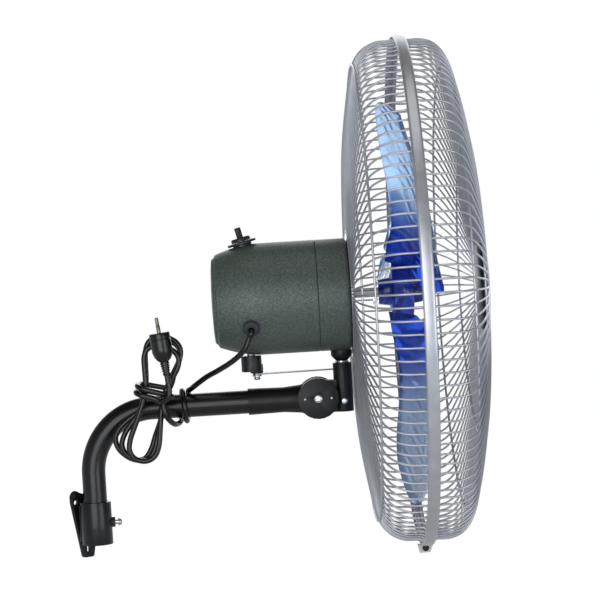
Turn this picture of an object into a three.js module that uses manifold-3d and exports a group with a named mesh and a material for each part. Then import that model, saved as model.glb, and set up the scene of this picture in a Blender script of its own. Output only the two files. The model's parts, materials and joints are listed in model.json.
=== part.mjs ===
// A wall mounted oscillating fan: wall bracket, bent arm, tilting neck, motor head and guarded impeller.
// Millimetres, +Z up. The origin is the centre of the wall plate's back face and +X points out of the wall.
// The arm stands turned about its socket, and everything it carries is laid out along the arm's own x.
import * as THREE from "three";
import { mergeVertices } from "three/addons/utils/BufferGeometryUtils.js";
import Module from "manifold-3d";

const wasm = await Module();
wasm.setup();

// ---- Driving dimensions -------------------------------------------------------------------------
const SEAT_GAP = 0.3; // between faces that touch
const RUNNING_GAP = 0.5; // between pieces that turn against each other

// wall bracket
const PLATE_THICKNESS = 5.5;
const PLATE_TOP = 43.4;
const PLATE_BOTTOM = -43.4;
const PLATE_HALF_WIDTH = 22;
const PLATE_FOOT_HALF_WIDTH = 8;
const PLATE_EAR_RADIUS = 9;
const PLATE_SADDLE_DEPTH = 7;
const BOLT_HOLE_RADIUS = 3.5;
const BOLT_HOLE_DROP = 15; // below the plate's top
const SLOT_WIDTH = 5.2;
const SLOT_LENGTH = 10.5;
const SLOT_RISE = 11; // above the plate's foot
const SOCKET_HEIGHT = 54;
const SOCKET_CENTRE_Z = 1.6;
const ARM_DATUM_RISE = 1.8; // the arm frame's z = 0 above the socket's middle
const SOCKET_WALL = 4.2;
const WELD_RADIUS = 3;
const SET_SCREW_RADIUS = 3;
const SET_SCREW_LENGTH = 17;
const SET_SCREW_HEAD_RADIUS = 4.6;
const SET_SCREW_HEAD = 5;
const SET_NUT_HEIGHT = 4;
const SET_NUT_RADIUS = 6.5;

// arm, in its own frame: x along the arm, z from the socket's middle
const ARM_TURN_DEG = 50; // as it stands in its socket, from square to the wall
const ARM_RADIUS = 15;
const ARM_WALL = 2;
const ARM_HEIGHT = 141;
const ARM_BEND_RADIUS = 80;
const KNUCKLE_START = 202;
const KNUCKLE_RADIUS = 17;
const KNUCKLE_SLEEVE = 45;
const TILT_X = 291;
const TILT_CHEEK_RADIUS = 26;
const TILT_CHEEK = 6;
const TILT_TONGUE = 25;
const TILT_BOLT_RADIUS = 4;
const TILT_BOLT_HEAD_RADIUS = 6.2;
const TILT_BOLT_HEAD = 3.4;
const TILT_NUT_RADIUS = 7.5;
const TILT_NUT = 6;

// neck, its heights from the arm's middle line
const SWING_X = 324;
const NECK_RADIUS = 12;
const NECK_DROP = 19;
const NECK_RISE = 43;
const NECK_BOTTOM = ARM_HEIGHT - NECK_DROP;
const NECK_TOP = ARM_HEIGHT + NECK_RISE;
const NECK_WEB = 16;
const NECK_WEB_RISE = 22;
const NECK_BORE_RADIUS = 6.2;
const CLAMP_SCREW_RADIUS = 4.4;
const CLAMP_SCREW_HEAD = 2.4;
const CLAMP_SCREW_DROP = 5;
const LUG_RADIUS = 6;
const LUG_OFFSET = 22; // of the link's fixed end from the swing axis
const LUG_HEIGHT = 6;

// motor head, turned about the fan's axis; x from the swing axis
const MOTOR_RADIUS = 71;
const MOTOR_RISE = 16; // of the motor's underside above the neck
const FAN_AXIS_Z = NECK_TOP + MOTOR_RISE + MOTOR_RADIUS;
const MOTOR_REAR = -161;
const MOTOR_REAR_RADIUS = 50;
const MOTOR_TAPER = 62; // length over which the rear narrows
const MOTOR_TAPER_POWER = 1.8;
const MOTOR_SEAM = -27;
const MOTOR_FRONT = 13.6;
const SHELL_WALL = 2.5;
const SHELL_CORNER = 6;
const SHAFT_RADIUS = 6;
const SHAFT_REAR = -132;
const BEARING_RADIUS = 15;
const BEARING_WIDTH = 10;
const STATOR_INSET = 16; // from the shells' outside
const STATOR_RADIUS = MOTOR_RADIUS - STATOR_INSET;
const STATOR_DEPTH = 24;
const STATOR_BORE = STATOR_RADIUS - STATOR_DEPTH;
const STATOR_LENGTH = 42;
const STATOR_FRONT = -26;
const WINDING_LENGTH = 14;
const ENDSHIELD_WALL = 3;
const CUP_RADIUS = 13.5;
const CUP_FOOT_RADIUS = 7.5;
const CUP_HEIGHT = 12;
const PIVOT_WASHER = 2.2;
const PIVOT_WASHER_RADIUS = 8.5;
const PIVOT_DEPTH = 40; // of the post inside the neck

// oscillating gear
const CRANK_X = -115;
const CRANK_RADIUS = 13;
const CRANK_HEIGHT = 20;
const CRANK_THROW = 12.5;
const CRANK_REST_DEG = 60;
const CRANK_BOSS_RADIUS = 8.2;
const CRANK_BOSS_DROP = 3; // below the crank's disc
const CRANK_SHAFT_RADIUS = 5;
const GEARBOX_LENGTH = 30;
const GEARBOX_HALF_WIDTH = 21;
const GEARBOX_TOP = 14;
const WORM_WHEEL_RADIUS = 15;
const WORM_WHEEL_HEIGHT = 7;
const WORM_WHEEL_TEETH = 18;
const LINK_THICKNESS = 2;
const LINK_HALF_WIDTH = 4.5;
const LINK_RISE = 33; // of its underside above the arm's middle line
const CRANK_SCREW_RADIUS = 3;
const CRANK_SCREW_HEAD_RADIUS = 6.2;
const CRANK_SCREW_HEAD = 6;

// switch and capacitor
const SWITCH_X = -118;
const SWITCH_TILT_DEG = 14;
const SWITCH_SEAT_RISE = 1.8;
const SWITCH_PLATE_RADIUS = 18.5;
const SWITCH_PLATE = 3;
const SWITCH_BODY_RADIUS = 12;
const SWITCH_BODY_DEPTH = 20;
const KNOB_RADIUS = 12.5;
const KNOB_BASE = 5;
const KNOB_BAR_HEIGHT = 13;
const KNOB_BAR_WIDTH = 8;
const CAPACITOR_SIZE = [26, 15, 24];

// guards, x from the ring's plane
const RING_X = 93;
const RING_RADIUS = 325;
const RING_HALF_WIDTH = 7.5;
const RING_WALL = 1.5;
const RING_LIP = 3.5;
const WIRE_COUNT = 22;
const WIRE_RADIUS = 1.3;
const RIM_WIRE_RADIUS = 1.8;
const GUARD_DEPTH_REAR = 77.5;
const GUARD_DEPTH_FRONT = 95;
const GUARD_LIP = [9.5, 8]; // where the wires leave the ring: x, and in from its outside
const GUARD_BENDS_REAR = [[-28, 9], [-57, 31], [-66, 75], [-74, 130]];
const GUARD_BENDS_FRONT = [[40, 9], [58, 34], [68, 75], [80, 135]];
const GUARD_EYE_REAR = 80;
const GUARD_EYE_FRONT = 57;
const MOUNT_PLATE = 1.6;
const MOUNT_SCREW_INSET = 23; // of the screws' circle from the shells' outside
const MOUNT_SCREW_CIRCLE = MOTOR_RADIUS - MOUNT_SCREW_INSET;
const MOUNT_SCREW_RADIUS = 2.5;
const MOUNT_SCREW_HEAD_RADIUS = 5;
const MOUNT_SCREW_COUNT = 4;
const BADGE_THICKNESS = 8;
const CLIP_HALF_WIDTH = 10;
const CLIP_THICKNESS = 3.5;
const CLIP_DROP = 11;
const CLIP_SCREW_RADIUS = 2.5;

// impeller, x from the ring's plane
const BLADE_COUNT = 3;
const BLADE_TIP_INSET = 50; // from the ring's outside
const BLADE_TIP = RING_RADIUS - BLADE_TIP_INSET;
const BLADE_THICKNESS = 3;
const BLADE_CAMBER = 9;
const BLADE_SET_BACK = 12; // of its middle line behind the ring's plane
const BLADE_SECTIONS = [ // share of the span, reach to the front edge and to the rear one, pitch
  [0, 34, 30, 40], [0.12, 80, 28, 36], [0.3, 92, 24, 27], [0.5, 95, 44, 21],
  [0.7, 93, 76, 18], [0.85, 78, 90, 16], [0.95, 40, 70, 15], [1, -8, 44, 15],
];
const BLADE_REST_DEG = 134; // the first blade's direction about the fan's axis, from +y
const HUB_RADIUS = 38;
const HUB_REAR = -42;
const HUB_FRONT = 2;
const NUT_RADIUS = 17;
const NUT_LENGTH = 20;

// cord
const CORD_RADIUS = 3.5;
const GROMMET_X = -113;
const GROMMET_DROP_DEG = 27.5; // below level, on the side away from +y
const GROMMET_RADIUS = 10.8;
const GROMMET_STAND = 6;
const GROMMET_LENGTH = 12;
const TUBE_TURNS = 1.5; // of the cord round the arm
const HANK_TURNS = 3;
const HANK_WRAPS = 2;
const HANK_LAYER = 8.6; // from one turn to the next
const HANK_WAIST = [84, 16]; // x, and height above the arm's middle line
const HANK_WAIST_HALF_WIDTH = 12;
const RUN_LEAD = 6; // straight out of the grommet
const RUN_ONE_BENDS = [[-3, -3.9, -9], [-9, -2.9, -22], [-20, 3.1, -33]]; // from the grommet's mouth
const RUN_MIDDLE = [178, -57, 52]; // x, y and height above the arm's middle line, as in the next
const RUN_TWO_BENDS = [[165, -46, 44.5], [152, -33, 37.5]];
const RUN_TAIL = 9; // straight on to the turns round the arm
const TURNS_X = 127;
const TURNS_LEAD = [-0.42, 0.84, -0.34]; // the cord's direction as it meets the arm
const TURNS_OFFSET = [2.2, -5, 1.2];
const PLUG_AT = [103, 45]; // x, and height above the arm's middle line
const PLUG_LEAN_DEG = 97; // from level
const PLUG_RADIUS = 13;
const PLUG_LENGTH = 36;
const PLUG_PIN_RADIUS = 2.3;
const PLUG_PIN_LENGTH = 19;
const PLUG_PIN_SPREAD = 9.5;

// ---- Materials ----------------------------------------------------------------------------------
const finish = (color, roughness, metalness, opacity = 1) =>
  new THREE.MeshStandardMaterial({ color, roughness, metalness, opacity, transparent: opacity < 1 });
const BLACK_ENAMEL = finish(0x14161a, 0.3, 0.3);
const HAMMER_GREEN = finish(0x46584e, 0.55, 0.4);
const ZINC = finish(0xb9bcc0, 0.35, 0.9);
const STEEL = finish(0x9a9da1, 0.4, 0.9);
const WIRE_SILVER = finish(0xb4b6ba, 0.35, 0.7);
const CORE_STEEL = finish(0x6b6d70, 0.6, 0.8);
const COPPER = finish(0xb56a38, 0.45, 0.8);
const CAST_ALUMINIUM = finish(0xa6a8aa, 0.55, 0.7);
const BRASS = finish(0xb89a52, 0.4, 0.9);
const BLACK_PLASTIC = finish(0x17181b, 0.45, 0);
const GREY_RUBBER = finish(0x3a3b40, 0.7, 0);
const CORD_BLACK = finish(0x0c0d10, 0.3, 0);
const PALE_PLASTIC = finish(0xd3d4d2, 0.5, 0);
const BLADE_BLUE = finish(0x2d55b8, 0.2, 0, 0.8);

// ---- Geometry helpers ---------------------------------------------------------------------------
const rad = THREE.MathUtils.degToRad;
const v3 = (x, y, z) => new THREE.Vector3(x, y, z);

function signedVolume(positions, index) {
  const [a, b, c] = [v3(), v3(), v3()];
  let six = 0;
  for (let i = 0; i < index.length; i += 3) {
    a.fromArray(positions, index[i] * 3);
    b.fromArray(positions, index[i + 1] * 3);
    c.fromArray(positions, index[i + 2] * 3);
    six += a.dot(b.cross(c));
  }
  return six / 6;
}

// A closed geometry as a solid, its faces turned outwards.
function solid(geometry) {
  const bare = geometry.clone();
  bare.deleteAttribute("normal");
  bare.deleteAttribute("uv");
  const merged = mergeVertices(bare, 1e-3);
  const vertProperties = new Float32Array(merged.attributes.position.array);
  const triVerts = new Uint32Array(merged.index.array);
  if (signedVolume(vertProperties, triVerts) < 0) triVerts.reverse();
  return new wasm.Manifold(new wasm.Mesh({ numProp: 3, vertProperties, triVerts }));
}

const join = (first, ...others) => others.reduce((whole, other) => whole.add(other), first);
const cut = (first, ...others) => others.reduce((whole, other) => whole.subtract(other), first);

// A solid as a named mesh.
function piece(name, shape, material) {
  const { vertProperties, triVerts } = shape.getMesh();
  const geometry = new THREE.BufferGeometry();
  geometry.setAttribute("position", new THREE.BufferAttribute(new Float32Array(vertProperties), 3));
  geometry.setIndex(new THREE.BufferAttribute(new Uint32Array(triVerts), 1));
  geometry.computeVertexNormals();
  const mesh = new THREE.Mesh(geometry, material);
  mesh.name = name;
  return mesh;
}

// Profiles are [distance along the axis, radius] and either close on themselves or end on the axis.
function turned(profile, segments = 24) {
  return new THREE.LatheGeometry(profile.map(([along, r]) => new THREE.Vector2(r, along)), segments);
}
const turnedX = (profile, segments) => turned(profile, segments).rotateZ(-Math.PI / 2);
const turnedZ = (profile, segments) => turned(profile, segments).rotateX(Math.PI / 2);
const turnedY = (profile, segments) => turned(profile, segments);

const rod = (from, to, radius) => [[from, 0], [from, radius], [to, radius], [to, 0]];
const ring = (from, to, inner, outer) =>
  [[from, inner], [from, outer], [to, outer], [to, inner], [from, inner]];

function block(x0, x1, y0, y1, z0, z1) {
  const box = new THREE.BoxGeometry(x1 - x0, y1 - y0, z1 - z0);
  return box.translate((x0 + x1) / 2, (y0 + y1) / 2, (z0 + z1) / 2);
}

// A flat outline in (first, second) row axes of a plane, pushed along the third.
function plateX(shape, thickness, curveSegments = 10) {
  const g = new THREE.ExtrudeGeometry(shape, { depth: thickness, bevelEnabled: false, curveSegments });
  return g.applyMatrix4(new THREE.Matrix4().makeBasis(v3(0, 1, 0), v3(0, 0, 1), v3(1, 0, 0)));
}
function plateZ(shape, thickness, curveSegments = 10) {
  return new THREE.ExtrudeGeometry(shape, { depth: thickness, bevelEnabled: false, curveSegments });
}

function polygon(radius, sides) {
  const at = (i) => rad((360 * (i + 0.5)) / sides);
  const points = Array.from({ length: sides }, (_, i) => i)
    .map((i) => new THREE.Vector2(radius * Math.cos(at(i)), radius * Math.sin(at(i))));
  return new THREE.Shape(points);
}

// A tube of any section along a smooth line through the points.
function tube(points, radius, sides, steps) {
  const extrudePath = new THREE.CatmullRomCurve3(points, false, "centripetal");
  return new THREE.ExtrudeGeometry(polygon(radius, sides), { steps, extrudePath, bevelEnabled: false });
}

// A closed body through rings of points, each ring with as many points as the next.
function loft(rings) {
  const count = rings[0].length;
  const positions = rings.flat().flatMap((p) => [p.x, p.y, p.z]);
  const index = [];
  for (let r = 0; r + 1 < rings.length; r++)
    for (let i = 0; i < count; i++) {
      const [a, b] = [r * count + i, r * count + ((i + 1) % count)];
      index.push(a, b, a + count, b, b + count, a + count);
    }
  const last = (rings.length - 1) * count;
  for (let i = 1; i + 1 < count; i++) {
    index.push(0, i + 1, i);
    index.push(last, last + i, last + i + 1);
  }
  const geometry = new THREE.BufferGeometry();
  geometry.setAttribute("position", new THREE.BufferAttribute(new Float32Array(positions), 3));
  return geometry.setIndex(index);
}

function placed(object, x, y, z) {
  object.position.set(x, y, z);
  return object;
}

function group(...children) {
  const made = new THREE.Group();
  made.add(...children);
  return made;
}

// ---- Wall bracket -------------------------------------------------------------------------------
const socketBore = ARM_RADIUS + RUNNING_GAP;
const socketRadius = socketBore + SOCKET_WALL;
const socketX = PLATE_THICKNESS + SEAT_GAP + socketRadius;
const socketHalf = SOCKET_HEIGHT / 2;

function wallPlate() {
  const earY = PLATE_HALF_WIDTH - PLATE_EAR_RADIUS;
  const earZ = PLATE_TOP - PLATE_EAR_RADIUS;
  const saddle = PLATE_TOP - PLATE_SADDLE_DEPTH;
  const foot = PLATE_FOOT_HALF_WIDTH;
  const outline = new THREE.Shape();
  outline.moveTo(-foot + 3, PLATE_BOTTOM);
  outline.lineTo(foot - 3, PLATE_BOTTOM);
  outline.quadraticCurveTo(foot, PLATE_BOTTOM, foot + 0.5, PLATE_BOTTOM + 3);
  outline.lineTo(PLATE_HALF_WIDTH, earZ - 6);
  outline.lineTo(PLATE_HALF_WIDTH, earZ);
  outline.absarc(earY, earZ, PLATE_EAR_RADIUS, 0, rad(100), false);
  outline.quadraticCurveTo(0, saddle - 3, -earY - 1.5, PLATE_TOP - 0.1);
  outline.absarc(-earY, earZ, PLATE_EAR_RADIUS, rad(100), rad(180), false);
  outline.lineTo(-PLATE_HALF_WIDTH, earZ - 6);
  outline.lineTo(-foot - 0.5, PLATE_BOTTOM + 3);
  outline.quadraticCurveTo(-foot, PLATE_BOTTOM, -foot + 3, PLATE_BOTTOM);
  const boltZ = PLATE_TOP - BOLT_HOLE_DROP;
  for (const side of [-1, 1]) {
    const hole = new THREE.Path();
    hole.absarc(side * (earY + 2.5), boltZ, BOLT_HOLE_RADIUS, 0, 2 * Math.PI, false);
    outline.holes.push(hole);
  }
  const slot = new THREE.Path();
  const slotZ = PLATE_BOTTOM + SLOT_RISE;
  const straight = (SLOT_LENGTH - SLOT_WIDTH) / 2;
  slot.absarc(0, slotZ + straight, SLOT_WIDTH / 2, 0, Math.PI, false);
  slot.absarc(0, slotZ - straight, SLOT_WIDTH / 2, Math.PI, 2 * Math.PI, false);
  outline.holes.push(slot);
  return piece("wall_plate", solid(plateX(outline, PLATE_THICKNESS, 6)), BLACK_ENAMEL);
}

// The socket with its two weld beads and the threaded boss for the set screw.
function socket() {
  const turn = rad(ARM_TURN_DEG);
  const wall = solid(turnedZ(ring(-socketHalf, socketHalf, socketBore, socketRadius), 24));
  const bossEnd = socketRadius + SET_NUT_HEIGHT;
  const boss = solid(turnedX(rod(socketBore + 1, bossEnd, SET_NUT_RADIUS), 6).rotateZ(turn));
  const screwHole = solid(turnedX(rod(0, bossEnd + 1, SET_SCREW_RADIUS + SEAT_GAP), 16).rotateZ(turn));
  const beadX = -socketRadius + WELD_RADIUS;
  const beadY = Math.sqrt(socketRadius ** 2 - beadX ** 2) + WELD_RADIUS / 3;
  const beads = [-1, 1].map((side) => {
    const bead = turnedZ(rod(-socketHalf * 0.85, socketHalf * 0.85, WELD_RADIUS), 8);
    return solid(bead.translate(beadX, side * beadY, 0));
  });
  const bore = solid(turnedZ(rod(-socketHalf - 1, socketHalf + 1, socketBore), 24));
  return piece("socket_tube", cut(join(wall, boss, ...beads), screwHole, bore), BLACK_ENAMEL);
}

function setScrew() {
  const tip = ARM_RADIUS + SEAT_GAP;
  const end = tip + SET_SCREW_LENGTH;
  const shank = solid(turnedX(rod(tip, end, SET_SCREW_RADIUS), 12));
  const head = solid(turnedX(rod(end - SET_SCREW_HEAD, end, SET_SCREW_HEAD_RADIUS), 12));
  return piece("arm_set_screw", join(shank, head), ZINC);
}

function bracket() {
  const inSocket = group(socket());
  inSocket.position.set(socketX, 0, SOCKET_CENTRE_Z);
  const screw = group(setScrew());
  screw.position.set(socketX, 0, SOCKET_CENTRE_Z);
  screw.rotation.z = rad(ARM_TURN_DEG);
  return group(wallPlate(), inSocket, screw);
}

// ---- Arm ----------------------------------------------------------------------------------------
const bendCentre = v3(ARM_BEND_RADIUS, 0, ARM_HEIGHT - ARM_BEND_RADIUS);
const armFoot = SOCKET_CENTRE_Z - socketHalf + 3;
const armEnd = KNUCKLE_START + 30;

// The hollow tube: up out of the socket, round its bend and along to the knuckle.
function armTube() {
  const centre = [];
  centre.push(v3(0, 0, armFoot));
  centre.push(v3(0, 0, bendCentre.z - 20));
  for (let deg = 0; deg <= 90; deg += 15) {
    const [s, c] = [Math.sin(rad(deg)), Math.cos(rad(deg))];
    centre.push(v3(ARM_BEND_RADIUS * (1 - c), 0, bendCentre.z + ARM_BEND_RADIUS * s));
  }
  centre.push(v3(armEnd, 0, ARM_HEIGHT));
  const across = (i) => centre[Math.min(i + 1, centre.length - 1)].clone()
    .sub(centre[Math.max(i - 1, 0)]).normalize();
  const ringAt = (i, r, extra) => {
    const along = across(i);
    const side = v3(0, 1, 0);
    const rise = along.clone().cross(side);
    return Array.from({ length: 15 }, (_, k) => rad(24 * k)).map((a) => centre[i].clone()
      .addScaledVector(along, extra)
      .addScaledVector(side, r * Math.cos(a))
      .addScaledVector(rise, r * Math.sin(a)));
  };
  const last = centre.length - 1;
  const rings = (r, extra) => centre.map((_, i) =>
    ringAt(i, r, i === 0 ? -extra : i === last ? extra : 0));
  const outer = solid(loft(rings(ARM_RADIUS, 0)));
  const inner = solid(loft(rings(ARM_RADIUS - ARM_WALL, 1)));
  return piece("arm_tube", cut(outer, inner), BLACK_ENAMEL);
}

// The cast knuckle: a sleeve over the tube that widens into the two cheeks of the tilt joint.
const cheekGap = TILT_TONGUE / 2 + RUNNING_GAP;
const cheekOut = cheekGap + TILT_CHEEK;
function armKnuckle() {
  const oval = (x, halfY, halfZ) => Array.from({ length: 18 }, (_, k) => rad(20 * k))
    .map((a) => v3(x, halfY * Math.cos(a), ARM_HEIGHT + halfZ * Math.sin(a)));
  const sleeveEnd = KNUCKLE_START + KNUCKLE_SLEEVE;
  const body = solid(loft([
    oval(KNUCKLE_START, KNUCKLE_RADIUS, KNUCKLE_RADIUS),
    oval(sleeveEnd, KNUCKLE_RADIUS - 1, KNUCKLE_RADIUS - 1),
    oval(TILT_X - TILT_CHEEK_RADIUS + 4, cheekOut, KNUCKLE_RADIUS + 1),
    oval(TILT_X - 8, cheekOut, TILT_CHEEK_RADIUS - 3),
  ]));
  const cheeks = solid(turnedY(rod(-cheekOut, cheekOut, TILT_CHEEK_RADIUS), 24)
    .translate(TILT_X, 0, ARM_HEIGHT));
  const roomRadius = TILT_CHEEK_RADIUS + RUNNING_GAP;
  const round = solid(turnedY(rod(-cheekGap, cheekGap, roomRadius), 24).translate(TILT_X, 0, ARM_HEIGHT));
  const open = solid(block(TILT_X, TILT_X + 60, -cheekGap, cheekGap, ARM_HEIGHT - 60, ARM_HEIGHT + 60));
  const boltHole = solid(turnedY(rod(-40, 40, TILT_BOLT_RADIUS + SEAT_GAP), 16)
    .translate(TILT_X, 0, ARM_HEIGHT));
  const tubeHole = solid(turnedX(rod(KNUCKLE_START - 1, armEnd + SEAT_GAP, ARM_RADIUS + SEAT_GAP), 20)
    .translate(0, 0, ARM_HEIGHT));
  return piece("arm_knuckle", cut(join(body, cheeks), round, open, boltHole, tubeHole), BLACK_ENAMEL);
}

function tiltBolt() {
  const headSeat = -cheekOut - SEAT_GAP;
  const tail = cheekOut + SEAT_GAP + TILT_NUT + 3;
  const bolt = join(
    solid(turnedY(rod(headSeat, tail, TILT_BOLT_RADIUS), 12)),
    solid(turnedY([
      [headSeat - TILT_BOLT_HEAD, 0],
      [headSeat - TILT_BOLT_HEAD, TILT_BOLT_HEAD_RADIUS * 0.6],
      [headSeat, TILT_BOLT_HEAD_RADIUS],
      [headSeat, 0],
    ], 16)),
  );
  return placed(piece("tilt_bolt", bolt, ZINC), TILT_X, 0, ARM_HEIGHT);
}

function tiltNut() {
  const seat = cheekOut + SEAT_GAP;
  const hex = solid(turnedY(rod(seat, seat + TILT_NUT, TILT_NUT_RADIUS), 6));
  const bore = solid(turnedY(rod(seat - 1, seat + TILT_NUT + 1, TILT_BOLT_RADIUS + SEAT_GAP), 12));
  return placed(piece("tilt_nut", cut(hex, bore), ZINC), TILT_X, 0, ARM_HEIGHT);
}

// ---- Neck ---------------------------------------------------------------------------------------
const lugTop = ARM_HEIGHT + LINK_RISE - SEAT_GAP;
const postEnd = NECK_TOP - PIVOT_DEPTH;

// The yoke: a tongue between the knuckle's cheeks, a web, and the bored housing of the swing pivot.
function neckYoke() {
  const tongueHalf = TILT_TONGUE / 2;
  const tongueRadius = TILT_CHEEK_RADIUS - 1;
  const tongue = solid(turnedY(rod(-tongueHalf, tongueHalf, tongueRadius), 24)
    .translate(TILT_X, 0, ARM_HEIGHT));
  const webHalf = NECK_WEB / 2;
  const web = solid(block(TILT_X, SWING_X, -webHalf, webHalf, NECK_BOTTOM, ARM_HEIGHT + NECK_WEB_RISE));
  const housing = solid(turnedZ(rod(NECK_BOTTOM, NECK_TOP, NECK_RADIUS), 20).translate(SWING_X, 0, 0));
  const lug = solid(turnedZ(rod(lugTop - LUG_HEIGHT, lugTop, LUG_RADIUS), 20)
    .translate(SWING_X, LUG_OFFSET, 0));
  const lugArm = solid(block(SWING_X - LUG_RADIUS * 0.8, SWING_X + LUG_RADIUS * 0.8,
    NECK_RADIUS / 2, LUG_OFFSET, lugTop - LUG_HEIGHT, lugTop - 1));
  const bore = solid(turnedZ(rod(postEnd - SEAT_GAP, NECK_TOP + 1, NECK_BORE_RADIUS + RUNNING_GAP), 24)
    .translate(SWING_X, 0, 0));
  const boltHole = solid(turnedY(rod(-40, 40, TILT_BOLT_RADIUS + SEAT_GAP), 16)
    .translate(TILT_X, 0, ARM_HEIGHT));
  const body = cut(join(tongue, web, housing, lugArm, lug), bore, boltHole);
  return piece("neck_yoke", body, BLACK_ENAMEL);
}

function clampScrew() {
  const face = -NECK_RADIUS - SEAT_GAP;
  const head = solid(turnedY([
    [face - CLAMP_SCREW_HEAD, 0],
    [face - CLAMP_SCREW_HEAD, CLAMP_SCREW_RADIUS * 0.7],
    [face, CLAMP_SCREW_RADIUS],
    [face, 0],
  ], 16));
  return placed(piece("neck_clamp_screw", head, ZINC), SWING_X, 0, ARM_HEIGHT - CLAMP_SCREW_DROP);
}

function pivotWasher() {
  const base = NECK_TOP + SEAT_GAP;
  const bore = NECK_BORE_RADIUS + SEAT_GAP;
  const washer = solid(turnedZ(ring(base, base + PIVOT_WASHER, bore, PIVOT_WASHER_RADIUS), 24));
  return placed(piece("pivot_washer", washer, ZINC), SWING_X, 0, 0);
}

// ---- Motor head, in its own frame: origin where the swing axis meets the fan's axis -----------------
// The shell's radius at a distance x along the axis: full in front, narrowing to the rear.
function shellRadius(x) {
  const along = Math.min(Math.max((x - MOTOR_REAR) / MOTOR_TAPER, 0), 1);
  const fall = MOTOR_RADIUS - MOTOR_REAR_RADIUS - SHELL_CORNER;
  return MOTOR_RADIUS - fall * (1 - along) ** MOTOR_TAPER_POWER;
}

function shellRear() {
  const steps = [0.05, 0.2, 0.5, 1].map((share) => MOTOR_REAR + share * MOTOR_TAPER);
  const outer = steps.map((x) => [x, shellRadius(x)]);
  const wall = SHELL_WALL;
  const profile = [
    [MOTOR_REAR, 0],
    [MOTOR_REAR + 1, MOTOR_REAR_RADIUS * 0.7],
    [MOTOR_REAR + 2, MOTOR_REAR_RADIUS],
    ...outer,
    [MOTOR_SEAM, MOTOR_RADIUS],
    [MOTOR_SEAM, MOTOR_RADIUS - wall],
    ...outer.slice(1).reverse().map(([x, r]) => [x, r - wall]),
    [MOTOR_REAR + 2 + wall * 2, MOTOR_REAR_RADIUS - wall],
    [MOTOR_REAR + 1 + wall, MOTOR_REAR_RADIUS * 0.7],
    [MOTOR_REAR + wall, 0],
  ];
  const crankHole = turnedZ(rod(-MOTOR_RADIUS - 5, -MOTOR_RADIUS + 20, CRANK_SHAFT_RADIUS + 1.5), 20);
  return piece("motor_shell_rear", cut(
    solid(turnedX(profile, 28)),
    solid(crankHole.translate(CRANK_X, 0, 0)),
    switchHole(),
    grommetHole(),
  ), HAMMER_GREEN);
}

const noseBore = BEARING_RADIUS + SEAT_GAP;
function shellFront() {
  const start = MOTOR_SEAM + SEAT_GAP;
  const wall = SHELL_WALL;
  const bossStart = MOTOR_FRONT - BEARING_WIDTH - 2;
  const profile = [
    [start, MOTOR_RADIUS - wall],
    [start, MOTOR_RADIUS],
    [MOTOR_FRONT - 5, MOTOR_RADIUS],
    [MOTOR_FRONT - 1.5, MOTOR_RADIUS - 1.5],
    [MOTOR_FRONT, MOTOR_RADIUS - 5],
    [MOTOR_FRONT, SHAFT_RADIUS + 3],
    [MOTOR_FRONT - 2, SHAFT_RADIUS + 3],
    [MOTOR_FRONT - 2, noseBore],
    [bossStart, noseBore],
    [bossStart, noseBore + 4],
    [MOTOR_FRONT - wall, noseBore + 4],
    [MOTOR_FRONT - wall, MOTOR_RADIUS - 6],
    [MOTOR_FRONT - 6, MOTOR_RADIUS - wall],
    [start, MOTOR_RADIUS - wall],
  ];
  const screwHoles = mountScrewPlaces().map(([y, z]) =>
    solid(turnedX(rod(0, MOTOR_FRONT + 2, MOUNT_SCREW_RADIUS + SEAT_GAP), 10).translate(0, y, z)));
  return piece("motor_shell_front", cut(solid(turnedX(profile, 28)), ...screwHoles), HAMMER_GREEN);
}

function mountScrewPlaces() {
  const step = 360 / MOUNT_SCREW_COUNT;
  return Array.from({ length: MOUNT_SCREW_COUNT }, (_, i) => rad(45 + i * step))
    .map((a) => [MOUNT_SCREW_CIRCLE * Math.cos(a), MOUNT_SCREW_CIRCLE * Math.sin(a)]);
}

// Stator: a laminated ring with a winding's end turns on each side.
const statorRear = STATOR_FRONT - STATOR_LENGTH;
function stator() {
  const core = solid(turnedX(ring(statorRear, STATOR_FRONT, STATOR_BORE, STATOR_RADIUS), 24));
  const winding = (name, from, to) => {
    const [inner, outer] = [STATOR_BORE + 3, STATOR_RADIUS - 5];
    const bulge = [
      [from, inner], [from, outer], [(from + to) / 2, outer + 1],
      [to, outer - 4], [to, inner + 3], [from, inner],
    ];
    return piece(name, solid(turnedX(bulge, 18)), COPPER);
  };
  return group(
    piece("stator_core", core, CORE_STEEL),
    winding("winding_front", STATOR_FRONT + SEAT_GAP, STATOR_FRONT + WINDING_LENGTH),
    winding("winding_rear", statorRear - SEAT_GAP, statorRear - WINDING_LENGTH),
  );
}

// The rear endshield: a cast dish bolted into the shell that carries the rear bearing and the gearbox.
const shieldX = statorRear - WINDING_LENGTH - 6;
const shieldRadius = MOTOR_RADIUS - SHELL_WALL - 2.5 * SEAT_GAP;
function rearEndshield() {
  const wall = ENDSHIELD_WALL;
  const profile = [
    [shieldX, noseBore],
    [shieldX, shieldRadius],
    [statorRear + 12, shieldRadius],
    [statorRear + 12, STATOR_RADIUS + SEAT_GAP],
    [shieldX + wall, STATOR_RADIUS + SEAT_GAP],
    [shieldX + wall, noseBore + 4],
    [shieldX + BEARING_WIDTH, noseBore + 4],
    [shieldX + BEARING_WIDTH, noseBore],
    [shieldX, noseBore],
  ];
  return piece("rear_endshield", solid(turnedX(profile, 24)), CAST_ALUMINIUM);
}

function bearing(name, from) {
  const profile = ring(from, from + BEARING_WIDTH - 1, SHAFT_RADIUS + RUNNING_GAP, BEARING_RADIUS);
  return piece(name, solid(turnedX(profile, 24)), STEEL);
}

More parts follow.
